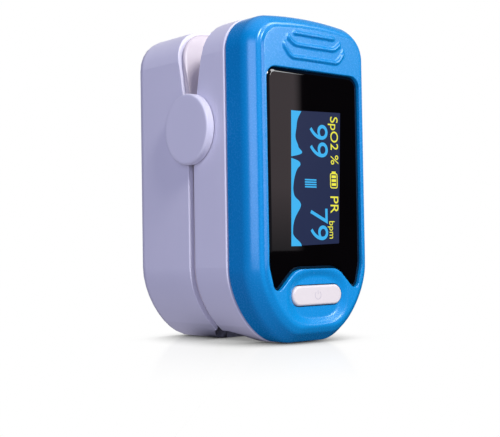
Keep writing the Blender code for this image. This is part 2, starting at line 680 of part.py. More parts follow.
def make_front_shell(lavender):
    """The front shell: the wall behind the cover, the inner face, the upper finger channel and two hinge ears."""
    front = PLATEAU_Y
    sections = [(front + SEAM_DEPTH + GAP / 2, body_outline()), (SPLIT_Y, body_outline())]
    outer = sloped(along_y(sections), FRONT_SLOPE_DEG, SPLIT_Y - GAP, -1)
    shell = add_object("front_shell", outer, lavender)
    inner_y = SPLIT_Y - FACE_WALL
    sections = [(front + SEAM_DEPTH - GAP, body_outline(WALL)), (inner_y, body_outline(WALL))]
    pocket = add_object("front_pocket", sloped(along_y(sections), FRONT_SLOPE_DEG, inner_y - GAP, -1))
    grow = PAD_THICKNESS + PAD_GAP
    end_z = CHANNEL_LENGTH + grow
    block = channel_solid(UPPER_CHANNEL_DEPTH, grow + CHANNEL_WALL, -1, -GAP, end_z + CHANNEL_WALL, FACE_WALL)
    cut(pocket, add_object("upper_channel_wall", block))
    for i, (x, z) in enumerate(cover_screw_spots()):
        cut(pocket, add_object(f"front_boss_{i + 1}", rod_y(x, z, [(front, BOSS_R), (SPLIT_Y, BOSS_R)])))
    cut(shell, pocket)
    void = channel_solid(UPPER_CHANNEL_DEPTH, grow, -1, -GAP, end_z, FACE_WALL, MOUTH_FLARE)
    cut(shell, add_object("upper_channel", void))
    for side, word in ((-1, "left"), (1, "right")):
        high_x = FRONT_EAR_X + EAR_THICKNESS
        neck_y = SPLIT_Y - FACE_WALL - GAP
        neck = sorted((side * FRONT_EAR_X, side * (INNER_HALF_WIDTH + WALL / 2)))
        low = (neck[0], SPLIT_Y - 2 * EAR_R, PIVOT_Z - EAR_R)
        join(shell, ear(f"front_ear_{word}", side, FRONT_EAR_X, high_x, -1, 1.5 * EAR_R))
        join(shell, add_object(f"front_neck_{word}", box(low, (neck[1], neck_y, PIVOT_Z + EAR_R * 0.8))))
        bore = [(side * (FRONT_EAR_X - GAP), PIN_R + RUN), (side * (HALF_WIDTH + GAP), PIN_R + RUN)]
        cut(shell, add_object(f"front_ear_bore_{word}", rod_x(SPLIT_Y, PIVOT_Z, bore)))
        slot_low = side * (BACK_EAR_X - GAP)
        slot = sorted((slot_low, side * (FRONT_EAR_X - GAP / 2)))
        room = [[(x, p, q) for p, q in circle(EAR_ROOM, 24, (SPLIT_Y, PIVOT_Z))] for x in slot]
        cut(shell, add_object(f"front_ear_room_{word}", skin(room)))
    add_spring_room(shell, "front", SPRING_LOW_X)
    low = (-FLEX_HALF_WIDTH - GAP, SPLIT_Y - 3 * FACE_WALL, PIVOT_Z - GAP)
    slot = box(low, (FLEX_HALF_WIDTH + GAP, SPLIT_Y + GAP, PIVOT_Z + 3.0 * MM))
    cut(shell, add_object("front_flex_slot", slot))
    for i, (x, z) in enumerate(cover_screw_spots()):
        seat = front_face_y(z) - SCREW_HEAD_HEIGHT - SCREW_SINK
        steps = [
            (front + SEAM_DEPTH - GAP, SCREW_R + RUN),
            (seat, SCREW_R + RUN),
            (seat, SCREW_HEAD_R + RUN),
            (SPLIT_Y + GAP, SCREW_HEAD_R + RUN),
        ]
        cut(shell, add_object(f"front_screw_hole_{i + 1}", rod_y(x, z, steps, 12)))
    low = (-SENSOR_SIDE / 2, SPLIT_Y - UPPER_CHANNEL_DEPTH - 6 * CHANNEL_WALL, SENSOR_Z - SENSOR_SIDE / 2)
    window = box(low, (SENSOR_SIDE / 2, SPLIT_Y - UPPER_CHANNEL_DEPTH / 2, SENSOR_Z + SENSOR_SIDE / 2))
    cut(shell, add_object("emitter_opening", window))
    return shell


def add_spring_room(part, word, leg_x):
    """Opens a piece's inner face around the two torsion springs, and along the leg that lies on it."""
    reach = SPRING_COIL_R + SPRING_WIRE_R + GAP
    half = SPRING_WIRE_R + GAP
    for side, end in ((-1, "left"), (1, "right")):
        xs = sorted((side * (PIN_INNER_X - GAP), side * (BACK_EAR_X - GAP / 2)))
        room = [[(x, p, q) for p, q in circle(reach, 20, (SPLIT_Y, PIVOT_Z))] for x in xs]
        cut(part, add_object(f"{word}_spring_room_{end}", skin(room)))
        low = (side * leg_x - half, SPLIT_Y - reach, PIVOT_Z)
        high = (side * leg_x + half, SPLIT_Y + reach, PIVOT_Z + SPRING_LEG + GAP)
        cut(part, add_object(f"{word}_spring_slot_{end}", box(low, high)))


def make_pad(name, depth, side, finish):
    """A soft finger pad: a trough that lines one half of the channel and ends in a finger stop."""
    grow = PAD_THICKNESS
    pad = add_object(name, channel_solid(depth, grow, side, PAD_START_Z, CHANNEL_LENGTH + grow), finish)
    inner = channel_solid(depth, 0.0, side, PAD_START_Z - GAP, CHANNEL_LENGTH, FACE_WALL)
    cut(pad, add_object(name + "_inside", inner))
    floor = (SPLIT_Y if side < 0 else CRADLE_Y) + side * depth
    ys = sorted((floor - side * depth / 2, floor + side * 3 * PAD_THICKNESS))
    low = (-SENSOR_SIDE / 2, ys[0], SENSOR_Z - SENSOR_SIDE / 2)
    cut(pad, add_object(name + "_hole", box(low, (SENSOR_SIDE / 2, ys[1], SENSOR_Z + SENSOR_SIDE / 2))))
    return pad


def make_sensor(name, window_name, depth, side, finish, clear):
    """An optical package and the clear plate in front of it, set in the pad's hole."""
    floor = (SPLIT_Y if side < 0 else CRADLE_Y) + side * depth
    half = SENSOR_SIDE / 2 - PAD_GAP
    near = floor + side * PAD_GAP
    ys = sorted((near, near + side * SENSOR_WINDOW_THICKNESS))
    plate = box((-half, ys[0], SENSOR_Z - half), (half, ys[1], SENSOR_Z + half))
    add_object(window_name, plate, clear)
    across, thick, tall = SENSOR_PACKAGE
    near += side * (SENSOR_WINDOW_THICKNESS + CHIP_GAP)
    ys = sorted((near, near + side * thick))
    package = box((-across / 2, ys[0], SENSOR_Z - tall / 2), (across / 2, ys[1], SENSOR_Z + tall / 2))
    add_object(name, package, finish)


# ---- Back half ---------------------------------------------------------------------------------


def back_body(low_y):
    """The back shell's outer form, from a depth to the rounded back."""
    sections = [(low_y, body_outline())]
    for i in range(5):
        turn = math.pi / 2 * i / 4
        y = BACK_Y - BACK_EDGE_R * (1 - math.sin(turn))
        sections.append((y, body_outline(BACK_EDGE_R * (1 - math.cos(turn)))))
    return along_y(sections)


def door_outline(grow, top_z):
    """The battery door's outline, seen from the back: round below, and open above at the top end."""
    wide = DOOR_HALF_WIDTH + grow
    low = DOOR_LOW_Z - grow
    corners = [
        (-wide, low, DOOR_CORNER_R + grow),
        (wide, low, DOOR_CORNER_R + grow),
        (wide, top_z, 0),
        (-wide, top_z, 0),
    ]
    return rounded(corners)


def make_back_shell(lavender):
    """The back shell: outer wall, bay floor, battery bay and the door's opening and grooves."""
    shell = add_object("back_shell", sloped(back_body(LIP_Y), BACK_SLOPE_DEG, LIP_Y + GAP, 1), lavender)
    front_room = along_y([(SPLIT_Y, body_outline(WALL)), (BAY_FLOOR_Y - BAY_FLOOR_WALL, body_outline(WALL))])
    cut(shell, add_object("cradle_room", front_room))
    above = BODY_LENGTH + WALL
    past = BACK_Y + WALL
    low = (-BAY_HALF_WIDTH, BAY_FLOOR_Y, BAY_LOW_Z)
    cut(shell, add_object("battery_bay", box(low, (BAY_HALF_WIDTH, BACK_Y - DOOR_THICKNESS / 2, BAY_HIGH_Z))))
    outline = door_outline(SLIDE, above)
    plane = BACK_Y - DOOR_THICKNESS - SLIDE
    cut(shell, add_object("door_opening", along_y([(plane, outline), (past, outline)])))
    wide = DOOR_HALF_WIDTH + TONGUE_REACH + SLIDE
    low = (-wide, plane, TONGUE_LOW_Z - SLIDE)
    cut(shell, add_object("door_grooves", box(low, (wide, plane + TONGUE_THICKNESS + 2 * SLIDE, above))))
    grow = PAD_THICKNESS + PAD_GAP
    void = channel_solid(LOWER_CHANNEL_DEPTH, grow, 1, -GAP, MOUTH_DEPTH + WALL, FACE_WALL, MOUTH_FLARE)
    cut(shell, add_object("back_mouth", void))
    for side, word in ((-1, "left"), (1, "right")):
        notch = [(side * (INNER_HALF_WIDTH - GAP), PIN_R + GAP), (side * (HALF_WIDTH + GAP), PIN_R + GAP)]
        cut(shell, add_object(f"pin_notch_{word}", rod_x(SPLIT_Y, PIVOT_Z, notch)))
        peg = [(side * (INNER_HALF_WIDTH - GAP), CAP_PEG_R + RUN), (side * (HALF_WIDTH + GAP), CAP_PEG_R + RUN)]
        cut(shell, add_object(f"peg_hole_{word}", rod_x(SPLIT_Y + CAP_PEG_OFFSET, PIVOT_Z, peg, 16)))
    for i, (x, z) in enumerate(frame_screw_spots()):
        steps = [(BAY_FLOOR_Y - 2 * BAY_FLOOR_WALL, SCREW_R + RUN), (BAY_FLOOR_Y + GAP, SCREW_R + RUN)]
        cut(shell, add_object(f"floor_hole_{i + 1}", rod_y(x, z, steps, 12)))
    return shell


def frame_screw_spots():
    """(x, z) of the screws that hold the cradle, driven from inside the battery bay."""
    heights = (FRAME_SCREW_LOW_Z, BAY_HIGH_Z - FRAME_SCREW_BELOW_BAY_TOP)
    return [(side * FRAME_SCREW_X, z) for z in heights for side in (-1, 1)]


def make_cradle(white):
    """The inner frame of the back half: a lip round the split, the lower finger channel and two hinge ears."""
    low_inset = WALL + GAP
    flange_y = LIP_Y - GAP
    sections = [
        (CRADLE_Y, body_outline(LIP_INSET)),
        (flange_y, body_outline(LIP_INSET)),
        (flange_y, body_outline(low_inset)),
        (CRADLE_BACK_Y, body_outline(low_inset)),
    ]
    outer = sloped(along_y(sections), BACK_SLOPE_DEG, flange_y + GAP, 1)
    cradle = add_object("back_cradle", outer, white)
    inner_y = CRADLE_Y + FACE_WALL
    wall_in = low_inset + CHANNEL_WALL
    room = [(inner_y, body_outline(wall_in)), (CRADLE_BACK_Y + GAP, body_outline(wall_in))]
    pocket = add_object("cradle_pocket", sloped(along_y(room), BACK_SLOPE_DEG, inner_y + GAP, 1))
    grow = PAD_THICKNESS + PAD_GAP
    end_z = CHANNEL_LENGTH + grow
    block = channel_solid(LOWER_CHANNEL_DEPTH, grow + CHANNEL_WALL, 1, -GAP, end_z + CHANNEL_WALL, FACE_WALL)
    cut(pocket, add_object("lower_channel_wall", block))
    for i, (x, z) in enumerate(frame_screw_spots()):
        cut(pocket, add_object(f"cradle_boss_{i + 1}", rod_y(x, z, [(SPLIT_Y, BOSS_R), (BACK_Y, BOSS_R)])))
    cut(cradle, pocket)
    void = channel_solid(LOWER_CHANNEL_DEPTH, grow, 1, -GAP, end_z, FACE_WALL, MOUTH_FLARE)
    cut(cradle, add_object("lower_channel", void))
    for side, word in ((-1, "left"), (1, "right")):
        xs = sorted((side * (FRONT_EAR_X - GAP / 2), side * HALF_WIDTH))
        ring = circle(EAR_ROOM, 24, (SPLIT_Y, PIVOT_Z))
        cut(cradle, add_object(f"cradle_ear_room_{word}", skin([[(x, p, q) for p, q in ring] for x in xs])))
        high_x = BACK_EAR_X + EAR_THICKNESS
        join(cradle, ear(f"back_ear_{word}", side, BACK_EAR_X, high_x, 1, CRADLE_BACK_Y - SPLIT_Y - GAP))
        bore = [(side * (BACK_EAR_X - GAP), PIN_R + RUN), (side * (high_x + GAP), PIN_R + RUN)]
        cut(cradle, add_object(f"back_ear_bore_{word}", rod_x(SPLIT_Y, PIVOT_Z, bore)))
    add_spring_room(cradle, "cradle", SPRING_HIGH_X)
    low = (-FLEX_HALF_WIDTH - GAP, SPLIT_Y, PIVOT_Z - GAP)
    slot = box(low, (FLEX_HALF_WIDTH + GAP, CRADLE_BACK_Y + GAP, PIVOT_Z + 3.0 * MM))
    cut(cradle, add_object("cradle_flex_slot", slot))
    for i, (x, z) in enumerate(frame_screw_spots()):
        steps = [(BAY_FLOOR_Y - BAY_FLOOR_WALL - FRAME_SCREW_REACH - GAP, SCREW_R + RUN), (BACK_Y, SCREW_R + RUN)]
        cut(cradle, add_object(f"cradle_pilot_{i + 1}", rod_y(x, z, steps, 12)))
    low = (-SENSOR_SIDE / 2, CRADLE_Y + LOWER_CHANNEL_DEPTH / 2, SENSOR_Z - SENSOR_SIDE / 2)
    window = box(low, (SENSOR_SIDE / 2, CRADLE_BACK_Y + GAP, SENSOR_Z + SENSOR_SIDE / 2))
    cut(cradle, add_object("detector_opening", window))
    return cradle


def make_door(lavender):
    """The battery door: a panel of the back with a tongue along each side and a ribbed thumb grip."""
    door = add_object("battery_door", back_body(BACK_Y - 3 * BACK_EDGE_R), lavender)
    top = BODY_LENGTH + WALL
    plane = BACK_Y - DOOR_THICKNESS
    outline = door_outline(0.0, top)
    change(door, "INTERSECT", add_object("door_blank", along_y([(plane, outline), (BACK_Y + WALL, outline)])))
    wide = DOOR_HALF_WIDTH + TONGUE_REACH
    high = (wide, plane + TONGUE_THICKNESS, BODY_LENGTH - TOP_CORNER_R)
    tongues = box((-wide, plane, TONGUE_LOW_Z), high)
    join(door, add_object("door_tongues", tongues))
    for i in range(GROOVE_COUNT):
        z = GROOVE_LOW_Z + i * GROOVE_PITCH
        groove = pill(DOOR_HALF_WIDTH / 2, GROOVE_PITCH / 4, z, 4)
        cutter = along_y([(BACK_Y - GROOVE_DEPTH, groove), (BACK_Y + WALL, groove)])
        cut(door, add_object(f"door_groove_{i + 1}", cutter))
    place(door, 0.0, plane, DOOR_LOW_Z)
    return door


def make_cells(sleeve, steel, brass):
    """Two cells side by side, head to tail, with their springs and contact plates."""
    for side, word in ((-1, "left"), (1, "right")):
        x = side * CELL_SPACING / 2
        low_contact = BAY_LOW_Z + GAP
        high_contact = BAY_HIGH_Z - GAP - CONTACT_THICKNESS
        up = side < 0
        base = high_contact - GAP / 2 - CELL_LENGTH if up else low_contact + CONTACT_THICKNESS + GAP / 2
        nub_base = base + CELL_LENGTH if up else base
        inwards = -1 if up else 1
        shoulder = nub_base + inwards * CELL_NUB_LENGTH
        foot = nub_base + inwards * CELL_LENGTH
        steps = [
            (nub_base, CELL_NUB_R),
            (shoulder, CELL_NUB_R),
            (shoulder, CELL_R * 0.94),
            (shoulder + inwards * CELL_R * 0.06, CELL_R),
            (foot - inwards * CELL_R * 0.06, CELL_R),
            (foot, CELL_R * 0.94),
        ]
        cell = add_object(f"battery_{word}", rod_z(x, CELL_Y, steps), sleeve)
        place(cell, x, CELL_Y, base)
        start = foot + inwards * (CELL_SPRING_WIRE_R + GAP / 2)
        stop = (low_contact + CONTACT_THICKNESS if up else high_contact) - inwards * (CELL_SPRING_WIRE_R + GAP / 2)
        count = int(CELL_SPRING_TURNS * 12)
        points = []
        for i in range(count + 1):
            t = i / count
            turn = 2 * math.pi * CELL_SPRING_TURNS * t
            radius = CELL_R * (0.42 + 0.2 * t)
            points.append((x + radius * math.cos(turn), CELL_Y + radius * math.sin(turn), start + (stop - start) * t))
        tube(f"battery_spring_{word}", points, CELL_SPRING_WIRE_R, steel)
    wide = CELL_SPACING / 2 + CONTACT_HALF_WIDTH
    y0, y1 = CELL_Y - CONTACT_HALF_WIDTH, CELL_Y + CONTACT_HALF_WIDTH
    low_z = BAY_LOW_Z + GAP
    add_object("bridge_contact", box((-wide, y0, low_z), (wide, y1, low_z + CONTACT_THICKNESS)), brass)
    high_z = BAY_HIGH_Z - GAP
    for side, name in ((-1, "positive_contact"), (1, "negative_contact")):
        xs = sorted((side * (CELL_SPACING / 2 - CONTACT_HALF_WIDTH), side * wide))
        add_object(name, box((xs[0], y0, high_z - CONTACT_THICKNESS), (xs[1], y1, high_z)), brass)


# ---- Hinge -------------------------------------------------------------------------------------


def make_hinge(lavender, steel):
    """On each side a pin through both halves' ears, a round cap outside and a torsion spring inside."""
    for side, word in ((-1, "left"), (1, "right")):
        cap_in = HALF_WIDTH + CAP_GAP
        cap_out = HALF_WIDTH + CAP_PROUD
        pin_end = cap_out - 2 * CAP_ROUND
        steps = [
            (side * PIN_INNER_X, PIN_R - CAP_ROUND / 2),
            (side * (PIN_INNER_X + CAP_ROUND / 2), PIN_R),
            (side * pin_end, PIN_R),
        ]
        pin = add_object(f"hinge_pin_{word}", rod_x(SPLIT_Y, PIVOT_Z, steps), steel)
        place(pin, 0.0, SPLIT_Y, PIVOT_Z)
        steps = [
            (side * cap_in, CAP_R),
            (side * (cap_out - CAP_ROUND), CAP_R),
            (side * (cap_out - CAP_ROUND * 0.3), CAP_R - CAP_ROUND * 0.3),
            (side * cap_out, CAP_R - CAP_ROUND),
        ]
        cap = add_object(f"hinge_cap_{word}", rod_x(SPLIT_Y, PIVOT_Z, steps, 40), lavender)
        peg = [(side * INNER_HALF_WIDTH, CAP_PEG_R), (side * (cap_in + CAP_GAP), CAP_PEG_R)]
        join(cap, add_object(f"cap_peg_{word}", rod_x(SPLIT_Y + CAP_PEG_OFFSET, PIVOT_Z, peg, 16)))
        socket = [(side * HALF_WIDTH, PIN_R + RUN), (side * (pin_end + RUN), PIN_R + RUN)]
        cut(cap, add_object(f"cap_socket_{word}", rod_x(SPLIT_Y, PIVOT_Z, socket)))
        place(cap, 0.0, SPLIT_Y, PIVOT_Z)
        add_torsion_spring(f"torsion_spring_{word}", side, steel)


def add_torsion_spring(name, side, finish):
    """A coil round the hinge pin, with a leg up each inner face of the V."""
    coil = []
    count = SPRING_TURNS * 12
    for i in range(count + 1):
        t = i / count
        turn = math.pi + (2 * SPRING_TURNS - 1) * math.pi * t
        x = side * (SPRING_LOW_X + (SPRING_HIGH_X - SPRING_LOW_X) * t)
        coil.append((x, SPLIT_Y + SPRING_COIL_R * math.cos(turn), PIVOT_Z + SPRING_COIL_R * math.sin(turn)))
    tips = []
    for x, y, z in (coil[0], coil[-1]):
        lean = math.copysign(math.tan(math.radians(BACK_SLOPE_DEG / 2)), y - SPLIT_Y)
        tips.append((x, SPLIT_Y + lean * SPRING_LEG, z + SPRING_LEG))
    return tube(name, [tips[0], *coil, tips[1]], SPRING_WIRE_R, finish)


def make_flex(amber):
    """The flexible circuit from the main board, past the hinge, to the detector and the cells."""
    y0 = PLATEAU_Y + BOARD_DEPTH + BOARD_THICKNESS + 1.8 * MM
    route = [
        (y0, PIVOT_Z + 4.6 * MM),
        (y0 + 1.2 * MM, PIVOT_Z + 3.9 * MM),
        (y0 + 2.4 * MM, PIVOT_Z + 2.6 * MM),
        (SPLIT_Y - 3.0 * MM, PIVOT_Z + 1.6 * MM),
        (SPLIT_Y, PIVOT_Z + 1.3 * MM),
        (SPLIT_Y + 2.4 * MM, PIVOT_Z + 1.6 * MM),
        (CRADLE_BACK_Y - 0.8 * MM, PIVOT_Z + 2.2 * MM),
    ]
    add_ribbon("sensor_flex", route, -FLEX_HALF_WIDTH, FLEX_HALF_WIDTH, amber)


def main():
    """Clears the scene and makes every part."""
    for old in list(bpy.data.objects):
        bpy.data.objects.remove(old)
    blue = material("blue_abs", (0.02, 0.27, 0.78), 0.35)
    lavender = material("lavender_abs", (0.45, 0.45, 0.60), 0.4)
    white = material("white_abs", (0.86, 0.84, 0.86), 0.4)
    black = material("black_acrylic", (0.005, 0.005, 0.006), 0.05)
    package = material("black_epoxy", (0.02, 0.02, 0.022), 0.5)
    glass = material("panel_glass", (0.02, 0.03, 0.08), 0.05)
    foam = material("black_foam", (0.03, 0.03, 0.03), 0.9)
    amber = material("polyimide", (0.55, 0.24, 0.03), 0.4)
    green = material("circuit_board", (0.02, 0.18, 0.07), 0.45)
    steel = material("steel", (0.60, 0.60, 0.62), 0.3, 1.0)
    brass = material("brass", (0.75, 0.55, 0.25), 0.35, 1.0)
    silicone = material("grey_silicone", (0.35, 0.36, 0.40), 0.7)
    sleeve = material("cell_sleeve", (0.08, 0.09, 0.10), 0.4)
    clear = material("clear_acrylic", (0.75, 0.20, 0.18), 0.05, 0.0, 0.5)

    make_front_cover(blue)
    make_window_and_panel(black, glass, foam, amber)
    make_button_and_switch(white, package, steel)
    make_board(green, package, steel, brass)
    make_front_shell(lavender)
    make_pad("upper_pad", UPPER_CHANNEL_DEPTH, -1, silicone)
    make_sensor("led_emitter", "emitter_window", UPPER_CHANNEL_DEPTH, -1, package, clear)
    for i, (x, z) in enumerate(cover_screw_spots()):
        seat = front_face_y(z) - SCREW_HEAD_HEIGHT - SCREW_SINK
        length = seat - (PLATEAU_Y + SEAM_DEPTH - COVER_SCREW_REACH)
        screw(f"cover_screw_{i + 1}", x, z, seat + CHIP_GAP, 1, length, steel)
    carry("jaw_axis", list(bpy.data.objects), 0.0, SPLIT_Y, PIVOT_Z)

    make_back_shell(lavender)
    make_cradle(white)
    make_pad("lower_pad", LOWER_CHANNEL_DEPTH, 1, silicone)
    make_sensor("photodetector", "detector_window", LOWER_CHANNEL_DEPTH, 1, package, clear)
    make_door(lavender)
    make_cells(sleeve, steel, brass)
    for i, (x, z) in enumerate(frame_screw_spots()):
        seat = BAY_FLOOR_Y + CHIP_GAP
        screw(f"frame_screw_{i + 1}", x, z, seat, 1, BAY_FLOOR_WALL + FRAME_SCREW_REACH, steel)
    make_hinge(lavender, steel)
    make_flex(amber)


main()
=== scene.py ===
"""Looks of a fingertip pulse oximeter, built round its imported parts.

Lengths are in millimetres until a mesh is made. +Z runs from the finger mouth to the squeeze end, the display faces
-Y and X is the width. "Depth" is measured along +Y from the plateau round the display.
"""

import logging
import math
from dataclasses import dataclass
from enum import Enum
from functools import partial
from typing import Callable, Iterable

import bmesh
import bpy
import numpy as np
from mathutils import Matrix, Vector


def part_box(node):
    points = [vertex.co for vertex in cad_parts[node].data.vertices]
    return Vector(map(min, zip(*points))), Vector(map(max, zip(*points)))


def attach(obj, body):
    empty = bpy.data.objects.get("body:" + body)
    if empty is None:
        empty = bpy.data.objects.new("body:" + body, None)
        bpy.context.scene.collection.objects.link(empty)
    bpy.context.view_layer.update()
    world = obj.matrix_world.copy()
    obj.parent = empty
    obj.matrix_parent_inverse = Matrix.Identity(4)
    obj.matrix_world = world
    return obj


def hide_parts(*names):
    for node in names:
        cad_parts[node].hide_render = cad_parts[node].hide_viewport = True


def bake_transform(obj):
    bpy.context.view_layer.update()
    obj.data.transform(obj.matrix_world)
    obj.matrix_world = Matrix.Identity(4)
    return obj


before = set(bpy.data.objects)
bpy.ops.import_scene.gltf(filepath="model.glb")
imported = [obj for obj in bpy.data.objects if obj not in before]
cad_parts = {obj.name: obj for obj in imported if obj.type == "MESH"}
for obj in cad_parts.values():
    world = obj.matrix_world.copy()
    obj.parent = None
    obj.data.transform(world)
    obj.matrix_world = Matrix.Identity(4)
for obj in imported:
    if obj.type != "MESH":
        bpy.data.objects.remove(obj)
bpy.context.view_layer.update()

Array = np.ndarray
Piece = bpy.types.Object
MM = 0.001
SHARP_DEG = 35.0
SHELL_SHARP_DEG = 30.0
LOG = logging.getLogger("oximeter")


class Side(Enum):
    """The two sides of the body, by the sign of X."""

    LEFT = -1
    RIGHT = 1


class Ends(Enum):
    """How the first and last ring of a skin are closed."""

    CAPS = "a flat face on each end ring"
    POLES = "each end ring is a single point"
    LOOP = "the last ring joins the first"


class Act(Enum):
    """What a helper solid does to a piece."""

    CUT = "DIFFERENCE"
    JOIN = "UNION"


class Body(Enum):
    """The frame's bodies that pieces ride on."""

    BACK = "back_half"
    FRONT = "front_half"
    BUTTON = "button"
    DOOR = "door"


# ---- Small tools -------------------------------------------------------------------------------


def node_box(node: str) -> Array:
    """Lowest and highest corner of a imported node, in millimetres, as a (2, 3) array."""
    return np.array(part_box(node)) / MM


def smoothstep(low: float, high: float, value: Array) -> Array:
    """0 below low, 1 above high, and 3t^2 - 2t^3 between them."""
    t = np.clip((value - low) / (high - low), 0.0, 1.0)
    return t * t * (3.0 - 2.0 * t)


def rounded(corners: Iterable[tuple[float, float, float]], closed: bool = True, steps: int = 16) -> Array:
    """A path through corners, each rounded by an arc that touches both of its sides.

    Args:
        corners: (a, b, radius) of each corner; a radius of 0 leaves it sharp.
        closed: whether the last corner joins the first.
        steps: parts of each arc.

    Returns:
        The path's points, (n, 2).
    """
    rows = list(corners)
    spots = np.array([row[:2] for row in rows])
    path = []
    for i, (_, _, radius) in enumerate(rows):
        here = spots[i]
        if radius == 0.0 or (not closed and i in (0, len(rows) - 1)):
            path.append(here[None, :])
            continue
        back = spots[i - 1] - here
        on = spots[(i + 1) % len(rows)] - here
        back = back / np.linalg.norm(back)
        on = on / np.linalg.norm(on)
        half = math.acos(float(np.clip(back @ on, -1.0, 1.0))) / 2.0
        middle = (back + on) / np.linalg.norm(back + on)
        centre = here + middle * radius / math.sin(half)
        start = here + back * radius / math.tan(half) - centre
        end = here + on * radius / math.tan(half) - centre
        turn = math.atan2(start[0] * end[1] - start[1] * end[0], start @ end)
        angle = turn * np.linspace(0.0, 1.0, steps + 1)
        turned = np.stack([start[0] * np.cos(angle) - start[1] * np.sin(angle),
                           start[0] * np.sin(angle) + start[1] * np.cos(angle)], axis=1)
        path.append(centre + turned)
    return np.concatenate(path)


def block(x0: float, z0: float, x1: float, z1: float) -> Array:
    """A plain rectangle, from its lowest left and its highest right corner."""
    return np.array([[x0, z0], [x1, z0], [x1, z1], [x0, z1]])


def plate(x0: float, z0: float, x1: float, z1: float, radius: float, steps: int) -> Array:
    """A rectangle with round corners, from its lowest left and its highest right corner."""
    return rounded([(x0, z0, radius), (x1, z0, radius), (x1, z1, radius), (x0, z1, radius)], steps=steps)


def spaced(path: Array, count: int) -> Array:
    """Points at equal distances along an open path of points, by linear interpolation over its length."""
    along = np.concatenate([[0.0], np.cumsum(np.linalg.norm(np.diff(path, axis=0), axis=1))])
    at = np.linspace(0.0, along[-1], count)
    return np.stack([np.interp(at, along, path[:, k]) for k in range(path.shape[1])], axis=1)


@dataclass(frozen=True)
class Outline:
    """A closed outline in the plane of the display, anticlockwise from its lowest point, with outward normals."""

    points: Array
    normals: Array

    @staticmethod
    def through(path: Array, count: int = 4800) -> "Outline":
        """An outline of evenly spaced points. Each normal is the chord between its neighbours, turned outwards."""
        points = spaced(np.concatenate([path, path[:1]]), count + 1)[:-1]
        chord = np.roll(points, -3, axis=0) - np.roll(points, 3, axis=0)
        chord /= np.linalg.norm(chord, axis=1)[:, None]
        return Outline(points, np.stack([chord[:, 1], -chord[:, 0]], axis=1))

    def inset(self, depth: float) -> Array:
        """The points moved inwards by a depth, or outwards where it is negative."""
        return self.points - self.normals * depth

    def turn(self, centre: Array) -> Array:
        """Each point's angle about a centre, from straight down, anticlockwise."""
        arm = self.points - centre
        return np.unwrap(np.arctan2(arm[:, 0], -arm[:, 1]))

    def at(self, angles: Array, centre: Array) -> "Outline":
        """The points and normals where rays at those angles from a centre meet the outline."""
        turn = self.turn(centre)
        order = np.argsort(turn)
        columns = np.concatenate([self.points, self.normals], axis=1)[order]
        found = np.stack([np.interp(angles, turn[order], column, period=2.0 * math.pi) for column in columns.T], axis=1)
        normals = found[:, 2:] / np.linalg.norm(found[:, 2:], axis=1)[:, None]
        return Outline(found[:, :2], normals)

    def every(self, count: int) -> "Outline":
        """The same outline with fewer points, evenly picked."""
        picked = np.linspace(0, len(self.points), count, endpoint=False).astype(int)
        return Outline(self.points[picked], self.normals[picked])


def shared_angles(outlines: Iterable[Outline], centre: Array, count: int) -> Array:
    """Angles about a centre that suit several outlines at once.

    The share of its length that each outline has covered at an angle is averaged over the outlines, and the angles
    are taken at equal steps of that average, so that tight corners of any of them get enough points.
    """
    dense = np.linspace(0.0, 2.0 * math.pi, 20001)
    share = np.zeros_like(dense)
    for outline in outlines:
        turn = outline.turn(centre)
        turn = turn - turn[0]
        share += np.interp(dense, np.append(turn, 2.0 * math.pi), np.linspace(0.0, 1.0, len(turn) + 1))
    return np.interp(np.arange(count) / count, share / share[-1], dense)


def placed(name: str, data: bpy.types.ID) -> Piece:
    """Puts a mesh, a text, a light or a camera into the scene as an object."""
    made = bpy.data.objects.new(name, data)
    bpy.context.scene.collection.objects.link(made)
    return made


def closed_up(mesh: bpy.types.Mesh, reach: float) -> None:
    """Joins vertices that lie within a reach in metres, and turns every face outwards."""
    work = bmesh.new()
    work.from_mesh(mesh)
    bmesh.ops.remove_doubles(work, verts=work.verts, dist=reach)
    bmesh.ops.recalc_face_normals(work, faces=work.faces)
    work.to_mesh(mesh)
    work.free()


def creased(mesh: bpy.types.Mesh, angle: float = SHARP_DEG) -> None:
    """Smooth shading that breaks where faces meet at more than an angle in degrees."""
    mesh.shade_smooth()
    mesh.set_sharp_from_angle(angle=math.radians(angle))


def solid(name: str, points: Array, faces: list) -> Piece:
    """A closed mesh object whose place is in its vertices.

    Args:
        name: the object's name.
        points: (n, 3) vertices in millimetres.
        faces: vertex numbers of each face.

    Returns:
        The object, smooth shaded, with its faces pointing outwards.
    """
    mesh = bpy.data.meshes.new(name)
    mesh.from_pydata((points * MM).tolist(), [], faces)
    closed_up(mesh, 1e-8)
    creased(mesh)
    return placed(name, mesh)


def skin(name: str, rings: Array, ends: Ends) -> Piece:
    """A solid whose skin runs over rings of points, shape (rings, points, 3): each ring joins the next by quads."""
    count, around, _ = rings.shape
    number = np.arange(count * around).reshape(count, around)
    low, high = (number, np.roll(number, -1, axis=0)) if ends is Ends.LOOP else (number[:-1], number[1:])
    quads = np.stack([low, np.roll(low, -1, axis=1), np.roll(high, -1, axis=1), high], axis=-1)
    faces = quads.reshape(-1, 4).tolist()
    if ends is Ends.CAPS:
        faces += [number[0].tolist(), number[-1].tolist()]
    return solid(name, rings.reshape(-1, 3), faces)


def layered(outline: Array, depth: Array | float) -> Array:
    """(x, y, z) points from an (x, z) outline and its depth, which is one number or one for each point."""
    y = np.broadcast_to(depth, outline.shape[:-1])
    return np.stack([outline[..., 0], y, outline[..., 1]], axis=-1)


def slab(name: str, outline: Array, low_y: float, high_y: float) -> Piece:
    """A flat plate with an (x, z) outline, between two depths."""
    return skin(name, np.stack([layered(outline, low_y), layered(outline, high_y)]), Ends.CAPS)


